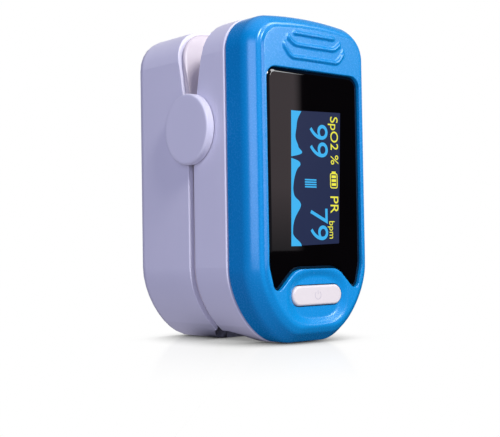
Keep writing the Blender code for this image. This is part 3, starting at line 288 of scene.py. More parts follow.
def turned(name: str, profile: Array, axis: str, centre: tuple[float, float, float], around: int = 96) -> Piece:
    """A solid of revolution: (along, radius) points of a profile, swept in a circle about an axis through a centre."""
    angle = np.linspace(0.0, 2.0 * math.pi, around, endpoint=False)
    along = np.broadcast_to(profile[:, :1], (len(profile), around))
    first = profile[:, 1:] * np.cos(angle)
    second = profile[:, 1:] * np.sin(angle)
    order = {"x": (along, first, second), "y": (second, along, first), "z": (first, second, along)}[axis]
    return skin(name, np.stack(order, axis=-1) + np.array(centre), Ends.POLES)


def rod(low: float, high: float, radius: float) -> Array:
    """The (along, radius) profile of a plain round rod."""
    return np.array([[low, 0.0], [low, radius], [high, radius], [high, 0.0]])


def wire(name: str, path: Array, radius: float, around: int = 12) -> Piece:
    """A round wire along a path, with domed ends.

    Each ring is a circle square to the path. Its first arm is the one of the last ring, less its part along the path,
    so that the rings don't twist.
    """
    run = np.gradient(path, axis=0)
    run /= np.linalg.norm(run, axis=1)[:, None]
    arm = np.cross(run[0], [0.31, 0.52, 0.79])
    arms = []
    for step in run:
        arm = arm - step * (arm @ step)
        arm = arm / np.linalg.norm(arm)
        arms.append(arm)
    first = np.array(arms)
    second = np.cross(run, first)
    dome = np.sin(np.radians([0.0, 25.0, 50.0, 70.0]))
    width = np.concatenate([dome, np.ones(len(path)), dome[::-1]])
    reach = radius * np.cos(np.arcsin(dome))
    line = np.concatenate([path[0] - run[0] * reach[:, None], path, path[-1] + run[-1] * reach[::-1, None]])
    first = np.concatenate([np.repeat(first[:1], 4, axis=0), first, np.repeat(first[-1:], 4, axis=0)])
    second = np.concatenate([np.repeat(second[:1], 4, axis=0), second, np.repeat(second[-1:], 4, axis=0)])
    angle = np.linspace(0.0, 2.0 * math.pi, around, endpoint=False)[None, :, None]
    spread = first[:, None] * np.cos(angle) + second[:, None] * np.sin(angle)
    return skin(name, line[:, None] + spread * (radius * width)[:, None, None], Ends.POLES)


def shape(piece: Piece, act: Act, helpers: Iterable[Piece]) -> Piece:
    """Cuts helper solids from a piece, or joins them to it, and removes the helpers."""
    used = list(helpers)
    for helper in used:
        modifier = piece.modifiers.new(helper.name, "BOOLEAN")
        modifier.operation = act.value
        modifier.solver = "EXACT"
        modifier.object = helper
    graph = bpy.context.evaluated_depsgraph_get()
    piece.data = bpy.data.meshes.new_from_object(piece.evaluated_get(graph))
    piece.modifiers.clear()
    for helper in used:
        bpy.data.objects.remove(helper)
    creased(piece.data)
    return piece


def flatten_normals(piece: Piece) -> None:
    """Lets large flat faces keep their own normals beside the fillets that they run into."""
    modifier = piece.modifiers.new("even_normals", "WEIGHTED_NORMAL")
    modifier.keep_sharp = True
    modifier.weight = 60


def ink(name: str, text: str, size: float, centre: tuple[float, float], low_y: float, thickness: float) -> Piece:
    """Printed characters as a thin solid that faces -Y and reads downwards, turned clockwise by a quarter.

    Args:
        name: the piece's name.
        text: the characters.
        size: height of a line in millimetres.
        centre: (x, z) of the middle of the text.
        low_y: its front face.
        thickness: how far it reaches back from there.

    Returns:
        The text as a mesh.
    """
    data = bpy.data.curves.new(name, "FONT")
    data.body = text
    data.size = size
    data.align_x = "CENTER"
    data.align_y = "CENTER"
    data.extrude = thickness / 2.0
    made = placed(name + "_text", data)
    graph = bpy.context.evaluated_depsgraph_get()
    mesh = bpy.data.meshes.new_from_object(made.evaluated_get(graph))
    bpy.data.objects.remove(made)
    mesh.name = name
    turn = Matrix(((0.0, 1.0, 0.0, centre[0]), (0.0, 0.0, -1.0, low_y + thickness / 2.0), (-1.0, 0.0, 0.0, centre[1]),
                   (0.0, 0.0, 0.0, 1.0)))
    mesh.transform(Matrix.Scale(MM, 4) @ turn)
    closed_up(mesh, 1e-7)
    return placed(name, mesh)


def merged_copy(node: str) -> Piece:
    """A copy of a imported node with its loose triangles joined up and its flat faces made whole."""
    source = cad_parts[node]
    work = bmesh.new()
    work.from_mesh(source.data)
    bmesh.ops.remove_doubles(work, verts=work.verts, dist=2e-7)
    bmesh.ops.dissolve_limit(work, angle_limit=math.radians(0.4), verts=work.verts, edges=work.edges)
    mesh = bpy.data.meshes.new(node + "_form")
    work.to_mesh(mesh)
    work.free()
    creased(mesh, SHELL_SHARP_DEG)
    return placed(node + "_form", mesh)


def soften(piece: Piece, on_edge: Callable[[Array, Array], Array], width: float) -> None:
    """Rounds the sharp edges that a test picks by their two ends, (n, 3) arrays in millimetres."""
    mesh = piece.data
    count = len(mesh.edges)
    ends = np.empty(count * 2, dtype=np.int32)
    mesh.edges.foreach_get("vertices", ends)
    spots = np.empty(len(mesh.vertices) * 3)
    mesh.vertices.foreach_get("co", spots)
    spots = spots.reshape(-1, 3)[ends.reshape(-1, 2)] / MM
    sharp = np.zeros(count, dtype=bool)
    if "sharp_edge" in mesh.attributes:
        mesh.attributes["sharp_edge"].data.foreach_get("value", sharp)
    picked = sharp & on_edge(spots[:, 0], spots[:, 1])
    weight = mesh.attributes.new("bevel_weight_edge", "FLOAT", "EDGE")
    weight.data.foreach_set("value", picked.astype(np.float32))
    modifier = piece.modifiers.new("edge", "BEVEL")
    modifier.limit_method = "WEIGHT"
    modifier.width = width * MM
    modifier.segments = 3
    modifier.use_clamp_overlap = False
    modifier.miter_outer = "MITER_ARC"


# ---- Finishes ----------------------------------------------------------------------------------


def linear(hex_colour: str) -> tuple[float, float, float, float]:
    """An sRGB hex colour as linear RGBA."""
    parts = [int(hex_colour[i:i + 2], 16) / 255.0 for i in (0, 2, 4)]
    return (*[c / 12.92 if c <= 0.04045 else ((c + 0.055) / 1.055) ** 2.4 for c in parts], 1.0)


def add_node(tree: bpy.types.NodeTree, kind: str, settings: dict | None = None,
             links: dict | None = None) -> bpy.types.Node:
    """Adds a node.

    Args:
        tree: the node tree it goes into.
        kind: the node's type name, less the "ShaderNode" that they all start with.
        settings: values by input name or number, or by the node's own attribute name.
        links: output sockets by the input name or number they feed.

    Returns:
        The node.
    """
    node = tree.nodes.new("ShaderNode" + kind)
    for key, value in (settings or {}).items():
        if isinstance(key, str) and hasattr(node, key) and key not in node.inputs:
            setattr(node, key, value)
        else:
            node.inputs[key].default_value = value
    for key, socket in (links or {}).items():
        tree.links.new(socket, node.inputs[key])
    return node


@dataclass(frozen=True)
class Finish:
    """A material made by one recipe: a base colour that drifts a little, and a fine relief from how it was made.

    The drift is a slow noise between two shades. The relief is a fine noise that also moves the roughness, as the
    spark-eroded wall of a mould or the skin of a rolled sheet does. grain and drift_size are in millimetres.
    """

    name: str
    colour: str
    shade: str
    roughness: float
    grain: float = 0.5
    relief: float = 0.004
    drift_size: float = 9.0
    unevenness: float = 0.06
    metallic: float = 0.0
    coat: float = 0.0
    specular: float = 0.5
    sheen_tint: tuple[float, float, float] = (1.0, 1.0, 1.0)
    glow: float = 0.0
    subsurface: float = 0.0

    def build(self) -> bpy.types.Material:
        """The material, as nodes on Object coordinates."""
        made = bpy.data.materials.new(self.name)
        made.use_nodes = True
        tree = made.node_tree
        add = partial(add_node, tree)
        shader = tree.nodes["Principled BSDF"]
        place = add("TexCoord").outputs["Object"]
        slow = add("TexNoise", {"Scale": 1.0 / (self.drift_size * MM), "Detail": 3.0}, {"Vector": place})
        fine = add("TexNoise", {"Scale": 1.0 / (self.grain * MM), "Detail": 2.0}, {"Vector": place})
        tint = add("Mix", {"data_type": "RGBA", 6: linear(self.colour), 7: linear(self.shade)},
                        {0: slow.outputs["Fac"]})
        rough = add("MapRange", {"To Min": self.roughness - self.unevenness / 2.0,
                                                      "To Max": self.roughness + self.unevenness / 2.0},
                         {"Value": fine.outputs["Fac"]})
        bump = add("Bump", {"Strength": 1.0, "Distance": self.relief * MM}, {"Height": fine.outputs["Fac"]})
        values = {"Metallic": self.metallic, "Coat Weight": self.coat, "Coat Roughness": 0.05}
        if self.metallic == 0.0:
            values |= {"Specular IOR Level": self.specular, "Specular Tint": (*self.sheen_tint, 1.0)}
        if self.glow > 0.0:
            values |= {"Base Color": BLACK, "Emission Strength": self.glow}
        if self.subsurface > 0.0:
            values |= {"Subsurface Weight": self.subsurface, "Subsurface Radius": (1.0, 1.0, 1.0),
                       "Subsurface Scale": 0.6 * MM}
        for key, value in values.items():
            shader.inputs[key].default_value = value
        coloured = "Emission Color" if self.glow > 0.0 else "Base Color"
        for key, socket in ((coloured, tint.outputs[2]), ("Roughness", rough.outputs["Result"]),
                            ("Normal", bump.outputs["Normal"])):
            tree.links.new(socket, shader.inputs[key])
        return made


# Blue ABS, injection moulded in a finely spark-eroded tool: even satin, with a soft sheen on the round edges.
BLUE_ABS = Finish("blue_abs", "008ACF", "0085C9", 0.27, grain=0.3, relief=0.0025, specular=0.76,
                  sheen_tint=(0.75, 0.88, 1.0))
# Pale lavender ABS with a slightly duller eroded skin.
LAVENDER_ABS = Finish("lavender_abs", "DFDCEB", "D9D7E7", 0.48, grain=0.5, relief=0.006)
# White ABS of the inner frame, smoother than the shells.
WHITE_ABS = Finish("white_abs", "D2C8CE", "CCC2C9", 0.42, grain=0.5, relief=0.004)
# White polycarbonate key, moulded against a polished tool and printed with a grey mark.
WHITE_KEY = Finish("white_polycarbonate", "D9D2D2", "D4CDCE", 0.3, grain=0.6, relief=0.002)
KEY_MARK = Finish("grey_pad_print", "C2BCC2", "BDB7BE", 0.45, grain=0.3, relief=0.001)
# Clear acrylic printed black on its back: a polished black face.
BLACK_ACRYLIC = Finish("black_backed_acrylic", "060506", "040304", 0.02, grain=2.0, relief=0.0, unevenness=0.01)
# The lit picture of the display, seen through the acrylic: it keeps the acrylic's polish.
SCREEN_NAVY, SCREEN_CYAN, SCREEN_YELLOW = (
    Finish(f"lit_screen_{name}", colour, shade, 0.2, relief=0.0, unevenness=0.01, specular=0.15, glow=1.0)
    for name, colour, shade in (("navy", "262F50", "242D4C"), ("cyan", "43B7F4", "3FB2F0"),
                                ("yellow", "F4F04E", "F0EC46")))
# Translucent grey liquid silicone, moulded matt.
GREY_SILICONE = Finish("grey_silicone", "8E9099", "868892", 0.62, grain=0.35, relief=0.01, subsurface=0.3)
RED_LENS = Finish("clear_red_acrylic", "9A2A28", "8E2422", 0.06, relief=0.0, unevenness=0.01)
# Zinc-plated steel of the screws and pins, and hard-drawn spring wire, whose drawing marks are too fine to show.
ZINC_STEEL = Finish("zinc_plated_steel", "B9BBC0", "A9ABB2", 0.28, grain=0.25, relief=0.003, metallic=1.0)
SPRING_WIRE = Finish("spring_wire", "A9AAAE", "96979C", 0.24, grain=0.2, relief=0.003, metallic=1.0)
NICKEL_BRASS = Finish("nickel_plated_brass", "C9BE9F", "BBAE8C", 0.3, grain=0.4, relief=0.004, metallic=1.0)
# The cell's printed shrink film, dark with a copper band, glossy over the steel can.
CELL_FILM = Finish("printed_cell_film", "1E2A38", "1A2430", 0.2, grain=1.2, relief=0.002, coat=0.4)
CELL_BAND = Finish("copper_cell_film", "C58B4A", "BB8040", 0.22, grain=1.2, relief=0.002, coat=0.4)
GREEN_BOARD = Finish("solder_mask_green", "0F5A34", "0B4D2B", 0.38, grain=0.6, relief=0.006)
BLACK_EPOXY = Finish("black_epoxy", "1B1B1D", "161618", 0.55, grain=0.3, relief=0.006)
AMBER_FILM = Finish("polyimide_film", "B4691E", "A85F18", 0.3, grain=0.8, relief=0.003)
PANEL_GLASS = Finish("panel_glass", "10131C", "0D1018", 0.04, relief=0.0, unevenness=0.01)
FOAM = Finish("black_foam_tape", "1A1A1A", "141414", 0.9, grain=0.3, relief=0.03)

BLACK = (0.0, 0.0, 0.0, 1.0)
WHITE = (1.0, 1.0, 1.0, 1.0)
_BUILT: dict[str, bpy.types.Material] = {}


def made_of(finish: Finish) -> bpy.types.Material:
    """The finish's material, made the first time that it is asked for."""
    if finish.name not in _BUILT:
        _BUILT[finish.name] = finish.build()
    return _BUILT[finish.name]


def dress(piece: Piece, finish: Finish) -> Piece:
    """Gives a piece one finish."""
    piece.data.materials.clear()
    piece.data.materials.append(made_of(finish))
    return piece


def settle(piece: Piece, body: Body, *nodes: str) -> Piece:
    """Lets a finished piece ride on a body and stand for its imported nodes."""
    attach(piece, body.value)
    if nodes:
        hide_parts(*nodes)
    LOG.info("%s: %d faces on %s", piece.name, len(piece.data.polygons), body.value)
    return piece


# ---- The body's form ---------------------------------------------------------------------------


@dataclass(frozen=True)
class Form:
    """Outlines and depths that several pieces share, in millimetres."""

    length: float = 60.0
    half_width: float = 15.0
    top_corner_r: float = 6.5
    crown_r: float = 82.0
    base_half_flat: float = 4.0
    base_rise: float = 14.0
    base_pull: float = 0.456
    split: float = 17.2
    cradle_gap: float = 0.3
    recess: float = 0.35
    pivot_z: float = 39.65
    middle: tuple[float, float] = (0.0, 32.0)

    def plateau_y(self) -> float:
        """Y of the plateau round the display."""
        return float(node_box("display_window")[0, 1]) - self.recess

    def split_y(self) -> float:
        """Y of the split between the halves, on the hinge's axis."""
        return self.plateau_y() + self.split

    def body(self) -> Outline:
        """The body from the front: a flat, a cubic Bezier, a side, a corner arc and half the crown, mirrored."""
        w, rise = self.half_width, self.base_rise
        t = np.linspace(0.0, 1.0, 300)[:, None]
        a = np.array([self.base_half_flat, 0.0])
        b = a + [self.base_pull * (w - self.base_half_flat), 0.0]
        d = np.array([w, rise])
        c = d - [0.0, self.base_pull * rise]
        curve = a * (1 - t) ** 3 + 3 * b * t * (1 - t) ** 2 + 3 * c * t * t * (1 - t) + d * t**3
        corner_x = w - self.top_corner_r
        reach = self.crown_r - self.top_corner_r
        crown_z = self.length - self.crown_r
        corner_z = crown_z + math.sqrt(reach**2 - corner_x**2)
        tilt = math.asin(corner_x / reach)
        turn = np.linspace(0.0, math.pi / 2 - tilt, 200)
        corner = np.stack([corner_x + self.top_corner_r * np.cos(turn), corner_z + self.top_corner_r * np.sin(turn)], 1)
        turn = np.linspace(tilt, 0.0, 200)[1:]
        crown = np.stack([self.crown_r * np.sin(turn), crown_z + self.crown_r * np.cos(turn)], 1)
        right = np.concatenate([[[0.0, 0.0]], curve, corner, crown])
        left = right[1:-1][::-1] * [-1.0, 1.0]
        return Outline.through(np.concatenate([right, left]))

    def window(self) -> Outline:
        """The display window: square above, with a point reaching down on each side of the button."""
        right = [(5.24, 13.53, 4.0), (10.25, 8.77, 1.25), (11.73, 14.1, 8.0), (11.73, 49.65, 2.2)]
        left = [(-x, z, r) for x, z, r in reversed(right)]
        path = rounded(right + left, steps=60)
        start = int(np.argmin(np.hypot(path[:, 0], path[:, 1] - 13.53)))
        return Outline.through(np.roll(path, -start, axis=0))

    def panel(self) -> Outline:
        """The opening behind the window that the display panel sits in."""
        box = node_box("oled_panel")
        x, low, high = box[1, 0] + 0.25, box[0, 2] - 0.25, box[1, 2] + 0.25
        path = rounded([(x, low, 0.6), (x, high, 0.6), (-x, high, 0.6), (-x, low, 0.6)], steps=12)
        return Outline.through(np.concatenate([[[0.0, low]], path]))

    def centre(self) -> Array:
        """The point on the display that rays to all three outlines start from."""
        return np.array(self.middle)


FORM = Form()


def pill(half_length: float, half_height: float, centre_z: float, steps: int = 48) -> Array:
    """A slot outline with round ends along X: two half circles joined by straight sides."""
    turn = np.radians(np.linspace(-90.0, 90.0, steps))
    reach = half_length - half_height
    right = np.stack([reach + half_height * np.cos(turn), centre_z + half_height * np.sin(turn)], axis=1)
    left = np.stack([-reach - half_height * np.cos(turn), centre_z - half_height * np.sin(turn)], axis=1)
    return np.concatenate([right, left])


# ---- Front half --------------------------------------------------------------------------------


@dataclass
class FrontCover:
    """The blue cover: one skin round the body, from the seam over the shoulder to the window's seat and back."""

    around: int = 840
    steps: int = 44
    step_back: float = 0.15
    wall: float = 1.6
    face: float = 2.3
    seat: float = 1.67
    rim_r: float = 0.16
    ledge: float = 0.85
    inner_fillet: float = 2.6
    shoulder: tuple[tuple[float, float, float], ...] = (
        (0.9, 7.61, 0.0), (0.15, 7.61, 0.12), (0.15, 2.5, 3.4), (1.75, 0.64, 1.0), (2.35, 0.56, 0.3), (2.8, 0.0, 0.2),
        (3.05, 0.0, 0.0))
    low_shoulder: tuple[tuple[float, float, float], ...] = (
        (0.9, 7.61, 0.0), (0.15, 7.61, 0.12), (0.15, 3.3, 2.6), (1.9, 0.7, 2.0), (3.0, 0.02, 1.2), (3.3, 0.0, 0.0))
    fade: tuple[float, float] = (5.0, 17.0)
    ridges: tuple[tuple[float, float, float], ...] = ((56.1, 4.8, 0.0), (54.0, 6.4, 1.1), (51.7, 7.4, 1.9))
    curl_length: float = 2.2
    ridge_height: float = 0.33
    ridge_half_width: float = 0.52
    dish_z: float = 8.35
    dish_half: tuple[float, float] = (7.9, 5.15)
    dish_power: float = 2.6
    dish_depth: float = 0.55
    dish_slope: float = 0.3
    button_z: float = 8.74
    button_hole: tuple[float, float] = (6.36, 1.98)

    def relief(self, spots: Array) -> Array:
        """Height above the plateau at (x, z) points.

        The dish falls away where a superellipse about the button, |x/a|^n + |z/b|^n, drops below 1. Each grip ridge
        is a smooth bump on the distance to a straight bar with ends that curl up as a parabola.
        """
        x, z = spots[..., 0], spots[..., 1]
        half_x, half_z = self.dish_half
        n = self.dish_power
        q = (np.abs(x / half_x) ** n + np.abs((z - self.dish_z) / half_z) ** n) ** (1.0 / n)
        height = -self.dish_depth * (1.0 - smoothstep(1.0 - self.dish_slope, 1.0, q))
        for level, half_length, curl in self.ridges:
            bend = half_length - self.curl_length if curl else half_length
            over = np.clip((np.abs(x) - bend) / self.curl_length, 0.0, 1.0)
            line = level + curl * over**2
            slope = 2.0 * curl * over / self.curl_length
            across = (z - line) / np.sqrt(1.0 + slope**2)
            past = np.maximum(np.abs(x) - half_length, 0.0)
            away = np.hypot(across, past)
            height = height + self.ridge_height * (1.0 - smoothstep(0.1, self.ridge_half_width, away))
        return height

    def build(self) -> None:
        """Makes the cover and dresses it."""
        body, window, panel = FORM.body(), FORM.window(), FORM.panel()
        angles = shared_angles((body, window), FORM.centre(), self.around)
        outer, hole, opening = (o.at(angles, FORM.centre()) for o in (body, window, panel))
        front = FORM.plateau_y()
        stepped, rolled = (spaced(rounded(row, closed=False), self.steps) for row in (self.shoulder, self.low_shoulder))
        share = smoothstep(*self.fade, outer.points[:, 1])[None, :, None]
        profile = share * stepped[:, None] + (1.0 - share) * rolled[:, None]
        side = outer.points - outer.normals * profile[..., :1]
        rings = [layered(side, front + profile[..., 1])]
        rim = hole.inset(-self.rim_r)
        t = np.linspace(0.0, 1.0, 52)[1:, None, None]
        flat = side[-1] * (1.0 - t) + rim * t
        rings.append(layered(flat, front - self.relief(flat)))
        turn = np.radians(np.linspace(0.0, 90.0, 6))[1:, None]
        grow = self.rim_r * (1.0 - np.sin(turn))
        edge = hole.points + hole.normals * grow[..., None]
        rings.append(layered(edge, front + self.rim_r * (1.0 - np.cos(turn))))
        ledge = hole.points * (1.0 - self.ledge) + opening.points * self.ledge
        inside = self.step_back + self.wall
        rows = ((hole.points, self.seat), (ledge, self.seat), (opening.points, self.seat), (opening.points, self.face),
                (outer.inset(inside + self.inner_fillet), self.face), (outer.inset(inside), self.face + self.wall),
                (outer.inset(inside), self.shoulder[0][1]))
        rings += [layered(points, front + depth)[None] for points, depth in rows]
        cover = skin("cover", np.concatenate(rings), Ends.LOOP)
        hole_form = pill(*self.button_hole, self.button_z)
        shape(cover, Act.CUT, [slab("button_hole", hole_form, front - 1.0, front + self.face + 0.6)])
        flatten_normals(cover)
        settle(dress(cover, BLUE_ABS), Body.FRONT, "front_cover")


@dataclass
class Display:
    """The black window with a polished chamfer, and the lit picture that shows through it."""

    fit: float = 0.12
    thickness: float = 1.2
    chamfer: float = 0.72
    chamfer_drop: float = 0.262
    picture: tuple[float, float, float, float] = (-6.2, 17.9, 6.2, 42.3)
    lean: tuple[float, float, float, float] = (0.5, 0.6, -0.3, 0.0)
    level_bars: tuple[float, float, float, float] = (-2.6, 0.3, 28.3, 0.43)
    sign: tuple[float, float, float, float] = (3.85, 28.3, 5.8, 31.15)
    sign_bars: tuple[float, float, float] = (0.42, 0.72, 0.5)
    waves: tuple[tuple[tuple[float, float], ...], ...] = (
        ((0.0, 2.5), (0.06, 1.6), (0.13, 1.25), (0.2, 1.05), (0.265, 1.75), (0.325, 1.85), (0.34, 0.1)),
        ((0.352, 0.1), (0.37, 1.7), (0.395, 2.25), (0.43, 1.5), (0.475, 0.95), (0.53, 0.6), (0.59, 0.5), (0.64, 1.0),
         (0.67, 2.0), (0.695, 2.35), (0.72, 2.15), (0.745, 1.7), (0.78, 1.1), (0.82, 0.65), (0.88, 0.4), (0.92, 0.55),
         (0.945, 1.2), (0.965, 1.9), (0.985, 2.4), (1.0, 2.5)))
    flare: float = 0.2
    figures: tuple[tuple[str, float, tuple[float, float]], ...] = (
        ("99", 6.5, (0.85, 36.95)), ("79", 6.35, (0.6, 21.65)))
    labels: tuple[tuple[str, float, tuple[float, float]], ...] = (
        ("SpO2 %", 2.8, (5.0, 37.2)), ("PR", 3.0, (4.75, 25.35)), ("bpm", 1.95, (4.05, 20.6)))
    film: float = 0.02
    lift: float = 0.012

    def layer(self, level: int) -> float:
        """Front face of a layer of the picture: each level lies a hair before the last, on the window's face."""
        return FORM.plateau_y() + FORM.recess - self.lift * (level + 1)

    def build(self) -> None:
        """Makes the window and the picture and dresses them."""
        face = FORM.plateau_y() + FORM.recess
        window = FORM.window().every(640)
        rows = ((self.fit + self.chamfer + 0.14, 0.0), (self.fit + self.chamfer + 0.06, 0.01),
                (self.fit + 0.06, 0.01 + self.chamfer_drop), (self.fit, self.chamfer_drop + 0.07),
                (self.fit, self.thickness))
        rings = np.stack([layered(window.inset(inset), face + depth) for inset, depth in rows])
        pane = skin("window_pane", rings, Ends.CAPS)
        flatten_normals(pane)
        settle(dress(pane, BLACK_ACRYLIC), Body.FRONT, "display_window")
        self.draw("screen_ground", rounded([(x, z, 0.12) for x, z in self.corners()], steps=4), 0, SCREEN_NAVY)
        for i, outline in enumerate(self.traces()):
            self.draw(f"pulse_trace_{i + 1}", outline, 1, SCREEN_CYAN)
        x0, x1, low, pitch = self.level_bars
        for i in range(4):
            z = low + pitch * i
            self.draw(f"level_bar_{i + 1}", block(x0, z, x1, z + 0.62 * pitch), 1, SCREEN_CYAN)
        self.cell_sign()
        for kind, finish, rows in (("figure", SCREEN_CYAN, self.figures), ("label", SCREEN_YELLOW, self.labels)):
            for i, (text, size, spot) in enumerate(rows):
                piece = ink(f"{kind}_{i + 1}", text, size, spot, self.layer(1), self.film)
                settle(dress(piece, finish), Body.FRONT)

    def corners(self) -> list[tuple[float, float]]:
        """The picture's corners, anticlockwise."""
        x0, z0, x1, z1 = self.picture
        top_left, top_right, low_right, low_left = self.lean
        return [(x0 + low_left, z0 - self.flare), (x1 + low_right, z0 + self.flare), (x1 + top_right, z1 + self.flare),
                (x0 + top_left, z1 - self.flare)]

    def draw(self, name: str, outline: Array, level: int, finish: Finish) -> None:
        """One flat patch of the picture."""
        front = self.layer(level)
        settle(dress(slab(name, outline, front, front + self.film), finish), Body.FRONT)

    def traces(self) -> list[Array]:
        """The filled pulse wave along the picture's left edge, in two runs with a gap between them.

        Each run's width is a cubic (Hermite) curve through the widths drawn at heights down the picture.
        """
        x0, low, _, high = self.picture
        low, high = low - self.flare, high - self.flare
        runs = []
        for wave in self.waves:
            down, wide = np.array(wave).T
            t = np.linspace(down[0], down[-1], 160)
            i = np.clip(np.searchsorted(down, t, side="right") - 1, 0, len(down) - 2)
            step = down[i + 1] - down[i]
            u = (t - down[i]) / step
            slope = np.gradient(wide, down)
            curve = (wide[i] * (1 + 2 * u) * (1 - u) ** 2 + slope[i] * step * u * (1 - u) ** 2
                     + wide[i + 1] * u**2 * (3 - 2 * u) + slope[i + 1] * step * u**2 * (u - 1))
            side = x0 + self.lean[0] * (1.0 - t)
            down_z = high - t * (high - low)
            edge = np.stack([side + np.maximum(curve, 0.08), down_z], axis=1)[::-1]
            runs.append(np.concatenate([edge, np.stack([side, down_z], axis=1)]))
        return runs

    def cell_sign(self) -> None:
        """The battery sign: an outlined round-cornered box with a nub and three bars."""
        x0, z0, x1, z1 = self.sign
        line = 0.2
        front = self.layer(1)
        box = slab("battery_sign", plate(x0, z0, x1, z1, 0.45, 6), front, front + self.film)
        a, c = x0 + line, x1 - line
        shape(box, Act.CUT, [slab("inside", plate(a, z0 + line, c, z1 - line, 0.28, 6), front - 0.1, front + 0.1)])
        settle(dress(box, SCREEN_YELLOW), Body.FRONT)
        middle = (x0 + x1) / 2.0
        tops = [z1 - self.sign_bars[0] - self.sign_bars[1] * i for i in range(3)]
        blocks = [(f"battery_bar_{i + 1}", a + 0.2, z - self.sign_bars[2], c - 0.2, z) for i, z in enumerate(tops)]
        for name, left, low, right, high in [*blocks, ("battery_nub", middle - 0.5, z1, middle + 0.5, z1 + 0.3)]:
            self.draw(name, block(left, low, right, high), 1, SCREEN_YELLOW)


@dataclass
class PowerButton:
    """The white key: a pill with a soft round edge, a flange behind the cover, a stem, and a printed ring and bar."""

    half: tuple[float, float] = (6.19, 1.81)
    sink: float = 0.1
    edge_r: float = 0.42
    back: float = 2.4
    flange: float = 0.8
    flange_thickness: float = 0.5
    middle_z: float = 8.74
    print_lift: float = 0.006

    def build(self) -> None:
        """Makes the key and its mark."""
        front = FORM.plateau_y() + self.sink
        turn = np.radians(np.linspace(0.0, 90.0, 7))
        rows = [(self.edge_r * (1 - math.sin(t)), self.edge_r * (1 - math.cos(t))) for t in turn]
        back = self.back - self.sink
        rows += [(0.0, back), (-self.flange, back), (-self.flange, back + self.flange_thickness)]
        rings = [layered(pill(self.half[0] - i, self.half[1] - i, self.middle_z), front + d) for i, d in rows]
        key = skin("button_key", np.stack(rings), Ends.CAPS)
        foot = front + back + self.flange_thickness
        stem = rod(foot - 0.3, foot + 0.1, 0.8)
        shape(key, Act.JOIN, [turned("key_stem", stem, "y", (0.0, 0.0, self.middle_z))])
        flatten_normals(key)
        settle(dress(key, WHITE_KEY), Body.BUTTON, "power_button")
        angle = np.radians(np.linspace(125.0, 415.0, 40))
        arc = np.stack([np.cos(angle), np.sin(angle)], axis=1)
        ring = np.concatenate([arc * 0.82, arc[::-1] * 0.66]) + [0.0, self.middle_z]
        bar = plate(-0.08, self.middle_z + 0.15, 0.08, self.middle_z + 0.9, 0.05, 4)
        for name, mark in (("button_mark_ring", ring), ("button_mark_bar", bar)):
            settle(dress(slab(name, mark, front - self.print_lift, front + 0.02), KEY_MARK), Body.BUTTON)


# ---- Shells ------------------------------------------------------------------------------------


@dataclass
class Shells:
    """The moulded shells that keep their packed form, with the edges of their outlines rounded."""

    near: float = 0.06
    parts: tuple[tuple[str, str, Finish, str, Body, float, float], ...] = (
        ("front_shell", "shell_front", LAVENDER_ABS, "lavender_shell", Body.FRONT, 0.0, 0.22),
        ("back_shell", "shell_back", LAVENDER_ABS, "lavender_shell", Body.BACK, 0.0, 0.12),
        ("back_cradle", "cradle_frame", WHITE_ABS, "white_frame", Body.BACK, 0.6, 0.5),
        ("battery_door", "door_panel", LAVENDER_ABS, "lavender_shell", Body.DOOR, 0.0, 0.22),
    )

    def build(self) -> None:
        """Makes each shell."""
        body = FORM.body().every(2400)
        for node, name, finish, slot, rides, inset, edge in self.parts:
            piece = merged_copy(node)
            piece.name = name
            outline = body.inset(inset)

            def on_outline(first: Array, second: Array) -> Array:
                """Whether both ends of each edge lie on the body's outline, and the edge runs along it."""
                close = [np.min(np.linalg.norm(ends[:, None, [0, 2]] - outline[None], axis=2), axis=1) < self.near
                         for ends in (first, second)]
                return close[0] & close[1] & (np.abs(first[:, 1] - second[:, 1]) < 0.5)

            soften(piece, on_outline, edge)
            flatten_normals(piece)
            settle(dress(piece, finish), rides, node)


# ---- Hinge -------------------------------------------------------------------------------------


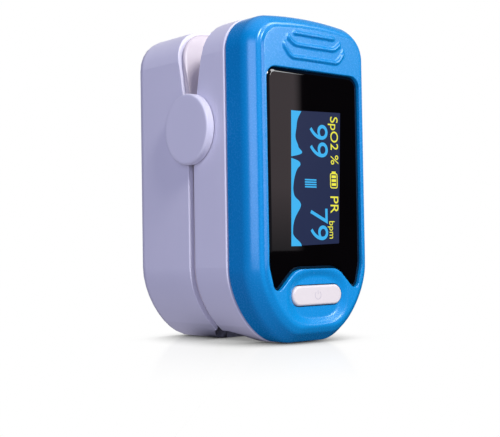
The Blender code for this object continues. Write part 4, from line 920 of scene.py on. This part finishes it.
@dataclass
class Hinge:
    """Round caps, pins and torsion springs at the pivot."""

    cap_r: float = 6.57
    cap_in: float = 15.2
    cap_out: float = 16.8
    cap_round: float = 0.42
    pin_r: float = 1.5
    coil_r: float = 2.35
    wire_r: float = 0.35
    turns: int = 4
    leg: float = 7.0
    leg_lean: float = 5.5
    pin_reach: tuple[float, float] = (5.8, 16.0)
    pin_lead: float = 0.25
    pin_tip: float = 0.1
    socket: tuple[float, float, float] = (14.0, 16.12, 0.12)
    peg: tuple[float, float, float, float] = (13.4, 15.4, 1.0, 4.3)

    def build(self) -> None:
        """Makes both sides."""
        for side in Side:
            word = side.name.lower()
            self.cap(side, word)
            self.pin(side, word)
            self.spring(side, word)

    def cap(self, side: Side, word: str) -> None:
        """A disc with a flat face, a round edge and a peg behind."""
        y, z = FORM.split_y(), FORM.pivot_z
        turn = np.radians(np.linspace(0.0, 90.0, 8))
        edge = np.stack([self.cap_out - self.cap_round + self.cap_round * np.cos(turn),
                         self.cap_r - self.cap_round + self.cap_round * np.sin(turn)], axis=1)
        radius = np.linspace(0.0, self.cap_r - self.cap_round, 12)[:-1]
        face = np.stack([np.full(11, self.cap_out), radius], axis=1)
        profile = np.concatenate([face, edge, [[self.cap_in + 0.1, self.cap_r], [self.cap_in, self.cap_r - 0.1],
                                               [self.cap_in, 0.0]]])
        profile[:, 0] *= side.value
        cap = turned(f"cap_{word}", profile, "x", (0.0, y, z), 144)
        low, high, loose = self.socket
        socket = rod(low, high, self.pin_r + loose)
        inner, outer, peg_r, off = self.peg
        peg = rod(inner, outer, peg_r)
        for row in (socket, peg):
            row[:, 0] *= side.value
        shape(cap, Act.JOIN, [turned("cap_peg", peg, "x", (0.0, y + off, z), 32)])
        shape(cap, Act.CUT, [turned("cap_socket", socket, "x", (0.0, y, z), 48)])
        flatten_normals(cap)
        settle(dress(cap, LAVENDER_ABS), Body.BACK, f"hinge_cap_{word}")

    def pin(self, side: Side, word: str) -> None:
        """A steel pin with a chamfered inner end."""
        low, high = self.pin_reach
        r, lead, tip = self.pin_r, self.pin_lead, self.pin_tip
        profile = np.array([[low, 0.0], [low, r - lead], [low + lead, r], [high - tip, r], [high, r - tip],
                            [high, 0.0]])
        profile[:, 0] *= side.value
        pin = turned(f"pin_{word}", profile, "x", (0.0, FORM.split_y(), FORM.pivot_z), 64)
        settle(dress(pin, ZINC_STEEL), Body.BACK, f"hinge_pin_{word}")

    def spring(self, side: Side, word: str) -> None:
        """A helix round the pin: its angle grows evenly along X, and each end leaves it as a straight leg.

        Its turn is shared between the halves, from the back of the pin to the front, so that each leg stays by its own.
        """
        y, z = FORM.split_y(), FORM.pivot_z
        box = node_box(f"torsion_spring_{word}")
        xs = sorted([box[0, 0] + self.wire_r, box[1, 0] - self.wire_r], key=abs)
        t = np.linspace(0.0, 1.0, self.turns * 40 + 1)
        angle = math.pi + (2 * self.turns - 1) * math.pi * t
        coil = np.stack([xs[0] + (xs[1] - xs[0]) * t, y + self.coil_r * np.cos(angle),
                         z + self.coil_r * np.sin(angle)], axis=1)
        tips = []
        for end in (coil[0], coil[-1]):
            lean = math.copysign(math.tan(math.radians(self.leg_lean)), end[1] - y)
            tips.append([end[0], y + lean * self.leg, end[2] + self.leg - 0.1])
        legs = [np.linspace(tips[0], coil[0], 12)[:-1], coil, np.linspace(coil[-1], tips[1], 12)[1:]]
        spring = wire(f"spring_{word}", np.concatenate(legs), self.wire_r)
        dress(spring, SPRING_WIRE)
        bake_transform(spring)
        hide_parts(f"torsion_spring_{word}")
        LOG.info("%s: winds up between the halves", spring.name)


# ---- Inside ------------------------------------------------------------------------------------


@dataclass
class FingerPads:
    """The soft troughs that line the channel, and the clear plates over the light and the detector."""

    half_width: float = 7.6
    depths: tuple[float, float] = (5.6, 2.9)
    thickness: float = 1.0
    start_z: float = 3.6
    stop_z: float = 34.0
    power: float = 2.6
    rib: float = 0.12
    rib_pitch: float = 2.4
    past_split: float = 1.3
    window_side: float = 4.4
    window_z: float = 18.0
    around: int = 72

    def arch(self, edge: float, side: float, depth: float, grow: Array) -> Array:
        """Half a superellipse, |x/a|^n + |y/b|^n = 1, for each of several growths: (growths, points, 2) of (x, y)."""
        turn = np.linspace(0.0, math.pi, self.around)
        across = np.sign(np.cos(turn)) * np.abs(np.cos(turn)) ** (2.0 / self.power)
        down = np.abs(np.sin(turn)) ** (2.0 / self.power)
        grow = np.asarray(grow)[:, None]
        return np.stack([(self.half_width + grow) * across, edge + side * (depth + grow) * down], axis=-1)

    def plug(self, name: str, edge: float, side: float, depth: float, rows: Array, past: float) -> Piece:
        """A plug of the channel's shape through (z, growth) rows, that may run past the split."""
        arch = self.arch(edge, side, depth, rows[:, 1])
        count = len(rows)
        corners = [np.stack([arch[:, k, 0], np.full(count, edge - side * past)], axis=-1)[:, None] for k in (-1, 0)]
        ring = np.concatenate([arch, *corners], axis=1) if past else arch
        z = np.broadcast_to(rows[:, :1], ring.shape[:2])
        return skin(name, np.concatenate([ring, z[..., None]], axis=-1), Ends.CAPS)

    def build(self) -> None:
        """Makes both pads: an outer plug, less a ribbed inner one with a round entry."""
        split = FORM.split_y()
        upper, lower = self.depths
        for name, node, edge, side, depth, rides, lens in (
                ("pad_upper", "upper_pad", split, -1.0, upper, Body.FRONT, "emitter_window"),
                ("pad_lower", "lower_pad", split + FORM.cradle_gap, 1.0, lower, Body.BACK, "detector_window")):
            full = self.thickness
            outer = np.array([[self.start_z, full - 0.25], [self.start_z + 0.08, full - 0.08],
                              [self.start_z + 0.3, full], [self.stop_z + full - 0.3, full],
                              [self.stop_z + full - 0.08, full - 0.1], [self.stop_z + full, full - 0.3]])
            z = np.linspace(self.start_z + 0.9, self.stop_z - 1.2, 200)
            wave = np.clip(np.cos(2.0 * math.pi * z / self.rib_pitch), 0.0, 1.0) ** 2
            near = smoothstep(self.window_side / 2 + 0.4, self.window_side / 2 + 1.2, np.abs(z - self.window_z))
            ribbed = np.stack([z, -self.rib * wave * near], axis=1)
            entry = np.array([[self.start_z - 0.3, 0.7], [self.start_z, 0.45], [self.start_z + 0.25, 0.16],
                              [self.start_z + 0.6, 0.02]])
            tail = np.array([[self.stop_z - 0.5, -0.1], [self.stop_z - 0.15, -0.4], [self.stop_z, -0.9]])
            pad = self.plug(name, edge, side, depth, outer, 0.0)
            inner = self.plug("pad_inside", edge, side, depth, np.concatenate([entry, ribbed, tail]), self.past_split)
            half = self.window_side / 2
            low, high = sorted((edge + side * depth / 2, edge + side * (depth + 3.0)))
            square = plate(-half, self.window_z - half, half, self.window_z + half, 0.4, 6)
            shape(pad, Act.CUT, [inner, slab("pad_hole", square, low, high)])
            flatten_normals(pad)
            settle(dress(pad, GREY_SILICONE), rides, node)
            (x0, low, z0), (x1, high, z1) = node_box(lens)
            clear = slab(name + "_lens", plate(x0, z0, x1, z1, 0.35, 8), low, high)
            settle(dress(clear, RED_LENS), rides, lens)


@dataclass
class PowerCells:
    """Two cells with a printed film, a steel end and a nub."""

    radius: float = 5.25
    length: float = 44.5
    nub_r: float = 1.9
    nub: float = 0.8
    band: float = 13.0

    def build(self) -> None:
        """Makes the cells: bare steel at both ends, a copper band round the shoulder, and the dark film below it."""
        for side in Side:
            word = side.name.lower()
            box = node_box(f"battery_{word}")
            x, y = (box[0, :2] + box[1, :2]) / 2.0
            base, sign = (box[1, 2], -1.0) if side is Side.LEFT else (box[0, 2], 1.0)
            r = self.radius
            can = [[0.0, 0.0], [0.0, self.nub_r - 0.2], [0.2, self.nub_r], [self.nub, self.nub_r], [self.nub, r - 0.9],
                   [self.nub - 0.12, r - 0.6], [self.nub, r - 0.3], [self.nub + 0.3, r], [self.band, r]]
            tail = [[self.length - 0.3, r], [self.length, r - 0.3], [self.length, r - 1.2],
                    [self.length - 0.15, r - 1.4], [self.length - 0.15, 0.0]]
            profile = np.array(can + tail)
            profile[:, 0] = base + sign * profile[:, 0]
            cell = turned(f"cell_{word}", profile, "z", (x, y, 0.0), 96)
            mesh = dress(cell, CELL_FILM).data
            for finish in (CELL_BAND, ZINC_STEEL):
                mesh.materials.append(made_of(finish))
            middles = np.empty(3 * len(mesh.polygons))
            mesh.polygons.foreach_get("center", middles)
            along = np.abs(middles[2::3] / MM - base)
            steel = (along < self.nub + 0.2) | (along > self.length - 0.2)
            mesh.polygons.foreach_set("material_index", np.where(steel, 2, np.where(along < self.band, 1, 0)))
            settle(cell, Body.BACK, f"battery_{word}")


@dataclass
class Details:
    """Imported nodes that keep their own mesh, with their finishes."""

    finishes: tuple[tuple[Finish, str], ...] = (
        (PANEL_GLASS, "oled_panel"), (FOAM, "oled_tape"), (AMBER_FILM, "oled_ribbon sensor_flex"),
        (GREEN_BOARD, "main_board"), (NICKEL_BRASS, "buzzer bridge_contact positive_contact negative_contact"),
        (BLACK_EPOXY, "mcu_chip sensor_chip regulator_chip flex_connector switch_plunger led_emitter photodetector"),
        (SPRING_WIRE, "battery_spring_left battery_spring_right"),
        (ZINC_STEEL, "crystal_can switch_body " + " ".join(f"{kind}_screw_{i}" for kind in ("cover", "frame")
                                                           for i in (1, 2, 3, 4))))

    def build(self) -> None:
        """Dresses each node."""
        for finish, nodes in self.finishes:
            for node in nodes.split():
                dress(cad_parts[node], finish)
                LOG.info("%s: %s", node, finish.name)


# ---- Studio ------------------------------------------------------------------------------------


@dataclass
class Studio:
    """White floor, a studio that is pale on the left and dark at the front right, three soft lights, and the camera."""

    floor_half: float = 4000.0
    eye: tuple[float, float, float] = (-130.1, -150.796, 17.467)
    right: tuple[float, float, float] = (0.75947, -0.65035, -0.01607)
    up: tuple[float, float, float] = (-0.00673, -0.03255, 0.99945)
    ahead: tuple[float, float, float] = (0.65051, 0.75894, 0.02909)
    focal: float = 73.35
    left_wall: tuple[float, float, float] = (0.02, 0.03, 0.12)
    right_wall: tuple[float, float, float] = (0.26, 0.26, 0.28)
    flag_from: float = 43.4
    flag_to: float = 80.0
    # contact, contact_shade and contact_full set the painted contact shadow: occlusion darkens the floor's glow near
    # the object
    contact: float = 15.0
    contact_shade: str = "20211F"
    contact_full: float = 0.68
    table: tuple[float, float, float, float] = (0.34, 0.335, 0.4, 1.0)
    table_glow: float = 1.2
    shadow_reach: tuple[float, float] = (9.0, 15.0)
    mirror: float = 0.11
    mirror_reach: tuple[float, float] = (22.0, 66.0)
    boxes: tuple[tuple, ...] = (
        ("left_box", (-329.0, -190.0, 110.0), (185.0, 220.0), (0.0, 0.0, 30.0), 0.45, (0.9, 0.93, 1.25)),
        ("top_box", (-40.0, 20.0, 420.0), (420.0, 420.0), (-40.0, 20.0, 0.0), 0.22, (1.0, 0.98, 0.99)),
        ("strip_box", (198.0, -258.0, 292.0), (140.0, 120.0), (-4.5, -18.0, 50.0), 0.5, (0.94, 0.97, 1.0)))
    lamps: tuple[tuple[float, float, float, float], ...] = ((-8.0, 38.0, 2.3, 16.0), (34.0, 17.0, 0.55, 10.0))
    front_box: tuple[float, float, float] = (0.97, 0.81, 0.86)
    front_box_from: float = 24.0

    def build(self) -> None:
        """Makes the floor, the lights and the camera."""
        self.camera()
        self.floor()
        self.world()
        for name, spot, size, target, power, colour in self.boxes:
            self.soft_light(name, spot, size, target, power, colour)
        for azimuth, height, strength, width in self.lamps:
            self.sun(azimuth, height, strength, width)

    def camera(self) -> None:
        """The camera, turned by its right, up and back directions."""
        data = bpy.data.cameras.new("camera")
        data.lens = self.focal
        data.sensor_width = 36.0
        data.clip_start = 0.01
        data.clip_end = 50.0
        self.place(data, np.array([self.right, self.up, [-a for a in self.ahead]]).T, self.eye)
        bpy.context.scene.camera = bpy.data.objects["camera"]

    @staticmethod
    def place(data: bpy.types.ID, axes: Array, spot: Iterable[float]) -> bpy.types.Object:
        """Puts a light or a camera at a spot in millimetres, with its own axes as the columns of a matrix."""
        made = placed(data.name, data)
        turn = np.eye(4)
        turn[:3, :3] = axes
        turn[:3, 3] = np.array(list(spot)) * MM
        made.matrix_world = Matrix(turn.tolist())
        return made

    @staticmethod
    def facing(back: Array) -> Array:
        """Axes of a light whose back looks along a direction: it shines the other way."""
        back = back / np.linalg.norm(back)
        side = np.cross([0.0, 0.0, 1.0], back)
        long = np.linalg.norm(side)
        side = side / long if long > 1e-6 else np.array([1.0, 0.0, 0.0])
        return np.array([side, np.cross(back, side), back]).T

    def floor(self) -> None:
        """A wide white floor with a painted contact shadow where the object nearly touches it, and a faint mirror
        image.

        The camera sees it lit evenly. Towards the object it sends back the dimmer light of a matt table.
        """
        mesh = bpy.data.meshes.new("floor")
        half = self.floor_half * MM
        corners = [(-half, -half, 0), (half, -half, 0), (half, half, 0), (-half, half, 0)]
        mesh.from_pydata(corners, [], [(0, 1, 2, 3)])
        made = bpy.data.materials.new("white_acrylic_floor")
        made.use_nodes = True
        made.node_tree.nodes.clear()
        add = partial(add_node, made.node_tree)
        # painted contact shadow: ambient occlusion darkens the floor's glow towards contact_shade where the object is
        # near
        open_sky = add("AmbientOcclusion", {"samples": 12, "Distance": self.contact * MM})
        shade = add("ValToRGB", links={"Fac": open_sky.outputs["AO"]})
        ramp = shade.color_ramp.elements
        ramp[0].color, ramp[1].color = linear(self.contact_shade), WHITE
        ramp[1].position = self.contact_full
        seen = add("Emission", {"Strength": 1.0}, {"Color": shade.outputs["Color"]})
        gloss = add("BsdfGlossy", {"Color": WHITE, "Roughness": 0.12})
        away = add("VectorMath", {"operation": "LENGTH"}, {0: add("TexCoord").outputs["Object"]}).outputs["Value"]
        near, far = (reach * MM for reach in self.mirror_reach)
        sheen = add("MapRange", {"From Min": near, "From Max": far, "To Min": self.mirror, "To Max": 0.0},
                    {"Value": away})
        near, far = (reach * MM for reach in self.shadow_reach)
        lit = add("MapRange", {"From Min": near, "From Max": far, "To Max": self.table_glow}, {"Value": away})
        matt = add("Emission", {"Color": self.table}, {"Strength": lit.outputs["Result"]})
        dark = add("BsdfDiffuse", {"Color": BLACK})
        path = add("LightPath").outputs
        shown = add("MixShader", links={0: sheen.outputs["Result"], 1: seen.outputs[0], 2: gloss.outputs[0]})
        bounced = add("MixShader", links={0: path["Is Glossy Ray"], 1: matt.outputs[0], 2: dark.outputs[0]})
        both = add("MixShader", links={0: path["Is Camera Ray"], 1: bounced.outputs[0], 2: shown.outputs[0]})
        add("OutputMaterial", links={0: both.outputs[0]})
        mesh.materials.append(made)
        placed("floor", mesh)

    @staticmethod
    def beyond(add: Callable, sky: bpy.types.NodeSocket, azimuth: float) -> bpy.types.NodeSocket:
        """1 where a direction lies more than an azimuth to the right of straight ahead of the display, else 0."""
        turn = math.radians(azimuth)
        across = (math.cos(turn), math.sin(turn), 0.0)
        dot = add("VectorMath", {"operation": "DOT_PRODUCT", 1: across}, {0: sky})
        edge = add("MapRange", {"From Min": -0.004, "From Max": 0.004}, {"Value": dot.outputs["Value"]})
        return edge.outputs["Result"]

    def world(self) -> None:
        """The studio's walls.

        They are white to the camera. To the object they are cool on the left and neutral on the right, with a pale box
        before a black flag at the front right, and a white sheet behind the object.
        """
        world = bpy.data.worlds.new("studio")
        world.use_nodes = True
        world.node_tree.nodes.clear()
        add = partial(add_node, world.node_tree)
        sky = add("TexCoord").outputs["Generated"]
        split = add("SeparateXYZ", links={0: sky})
        side = add("MapRange", {"From Min": -0.5, "From Max": 0.5}, {"Value": split.outputs["X"]})
        above = add("MapRange", {"From Min": -0.01, "From Max": 0.06}, {"Value": split.outputs["Z"]})
        ahead = add("VectorMath", {"operation": "DOT_PRODUCT", 1: self.ahead}, {0: sky})
        behind = add("MapRange", {"From Min": 0.82, "From Max": 0.9}, {"Value": ahead.outputs["Value"]})
        box_edge, flag_edge, flag_end = (self.beyond(add, sky, azimuth)
                                         for azimuth in (self.front_box_from, self.flag_from, self.flag_to))
        between = {"operation": "SUBTRACT", "use_clamp": True}
        flag = add("Math", between, {0: flag_edge, 1: flag_end})
        box = add("Math", between, {0: box_edge, 1: flag_edge})
        lit = add("Math", {"operation": "MULTIPLY"}, {0: box.outputs[0], 1: above.outputs["Result"]})
        shade = add("Mix", {"data_type": "RGBA", 6: (*self.left_wall, 1.0), 7: (*self.right_wall, 1.0)},
                    {0: side.outputs["Result"]}).outputs[2]
        for colour, share in ((BLACK, flag), ((*self.front_box, 1.0), lit), (WHITE, behind)):
            shade = add("Mix", {"data_type": "RGBA", 7: colour}, {0: share.outputs[0], 6: shade}).outputs[2]
        lights = add("Background", links={"Color": shade})
        white = add("Background", {"Color": WHITE})
        seen = add("LightPath").outputs["Is Camera Ray"]
        both = add("MixShader", links={0: seen, 1: lights.outputs[0], 2: white.outputs[0]})
        add("OutputWorld", links={0: both.outputs[0]})
        bpy.context.scene.world = world
        bpy.context.scene.view_settings.view_transform = "Standard"

    def soft_light(self, name: str, spot: tuple[float, float, float], size: tuple[float, float],
                   target: tuple[float, float, float], power: float, colour: tuple[float, float, float]) -> None:
        """A rectangular softbox aimed at a point, with its power in watts."""
        data = bpy.data.lights.new(name, "AREA")
        data.shape = "RECTANGLE"
        data.size, data.size_y = size[0] * MM, size[1] * MM
        data.energy = power
        data.color = colour
        made = self.place(data, self.facing(np.subtract(spot, target).astype(float)), spot)
        made.visible_camera = False

    def sun(self, azimuth: float, height: float, strength: float, width: float) -> None:
        """A wide distant lamp, by its azimuth (see beyond), height and width in degrees."""
        data = bpy.data.lights.new("far_lamp", "SUN")
        data.energy = strength
        data.angle = math.radians(width)
        a, h = math.radians(azimuth), math.radians(height)
        self.place(data, self.facing(np.array([math.sin(a) * math.cos(h), -math.cos(a) * math.cos(h), math.sin(h)])),
                   (0.0, 0.0, 0.0))


def main() -> None:
    """Builds every sub-assembly."""
    logging.basicConfig(level=logging.INFO, format="%(name)s %(message)s")
    for assembly in (FrontCover(), Display(), PowerButton(), Shells(), Hinge(), FingerPads(), PowerCells(), Details(),
                     Studio()):
        LOG.info("building %s", type(assembly).__name__)
        assembly.build()


if __name__ == "__main__":
    main()
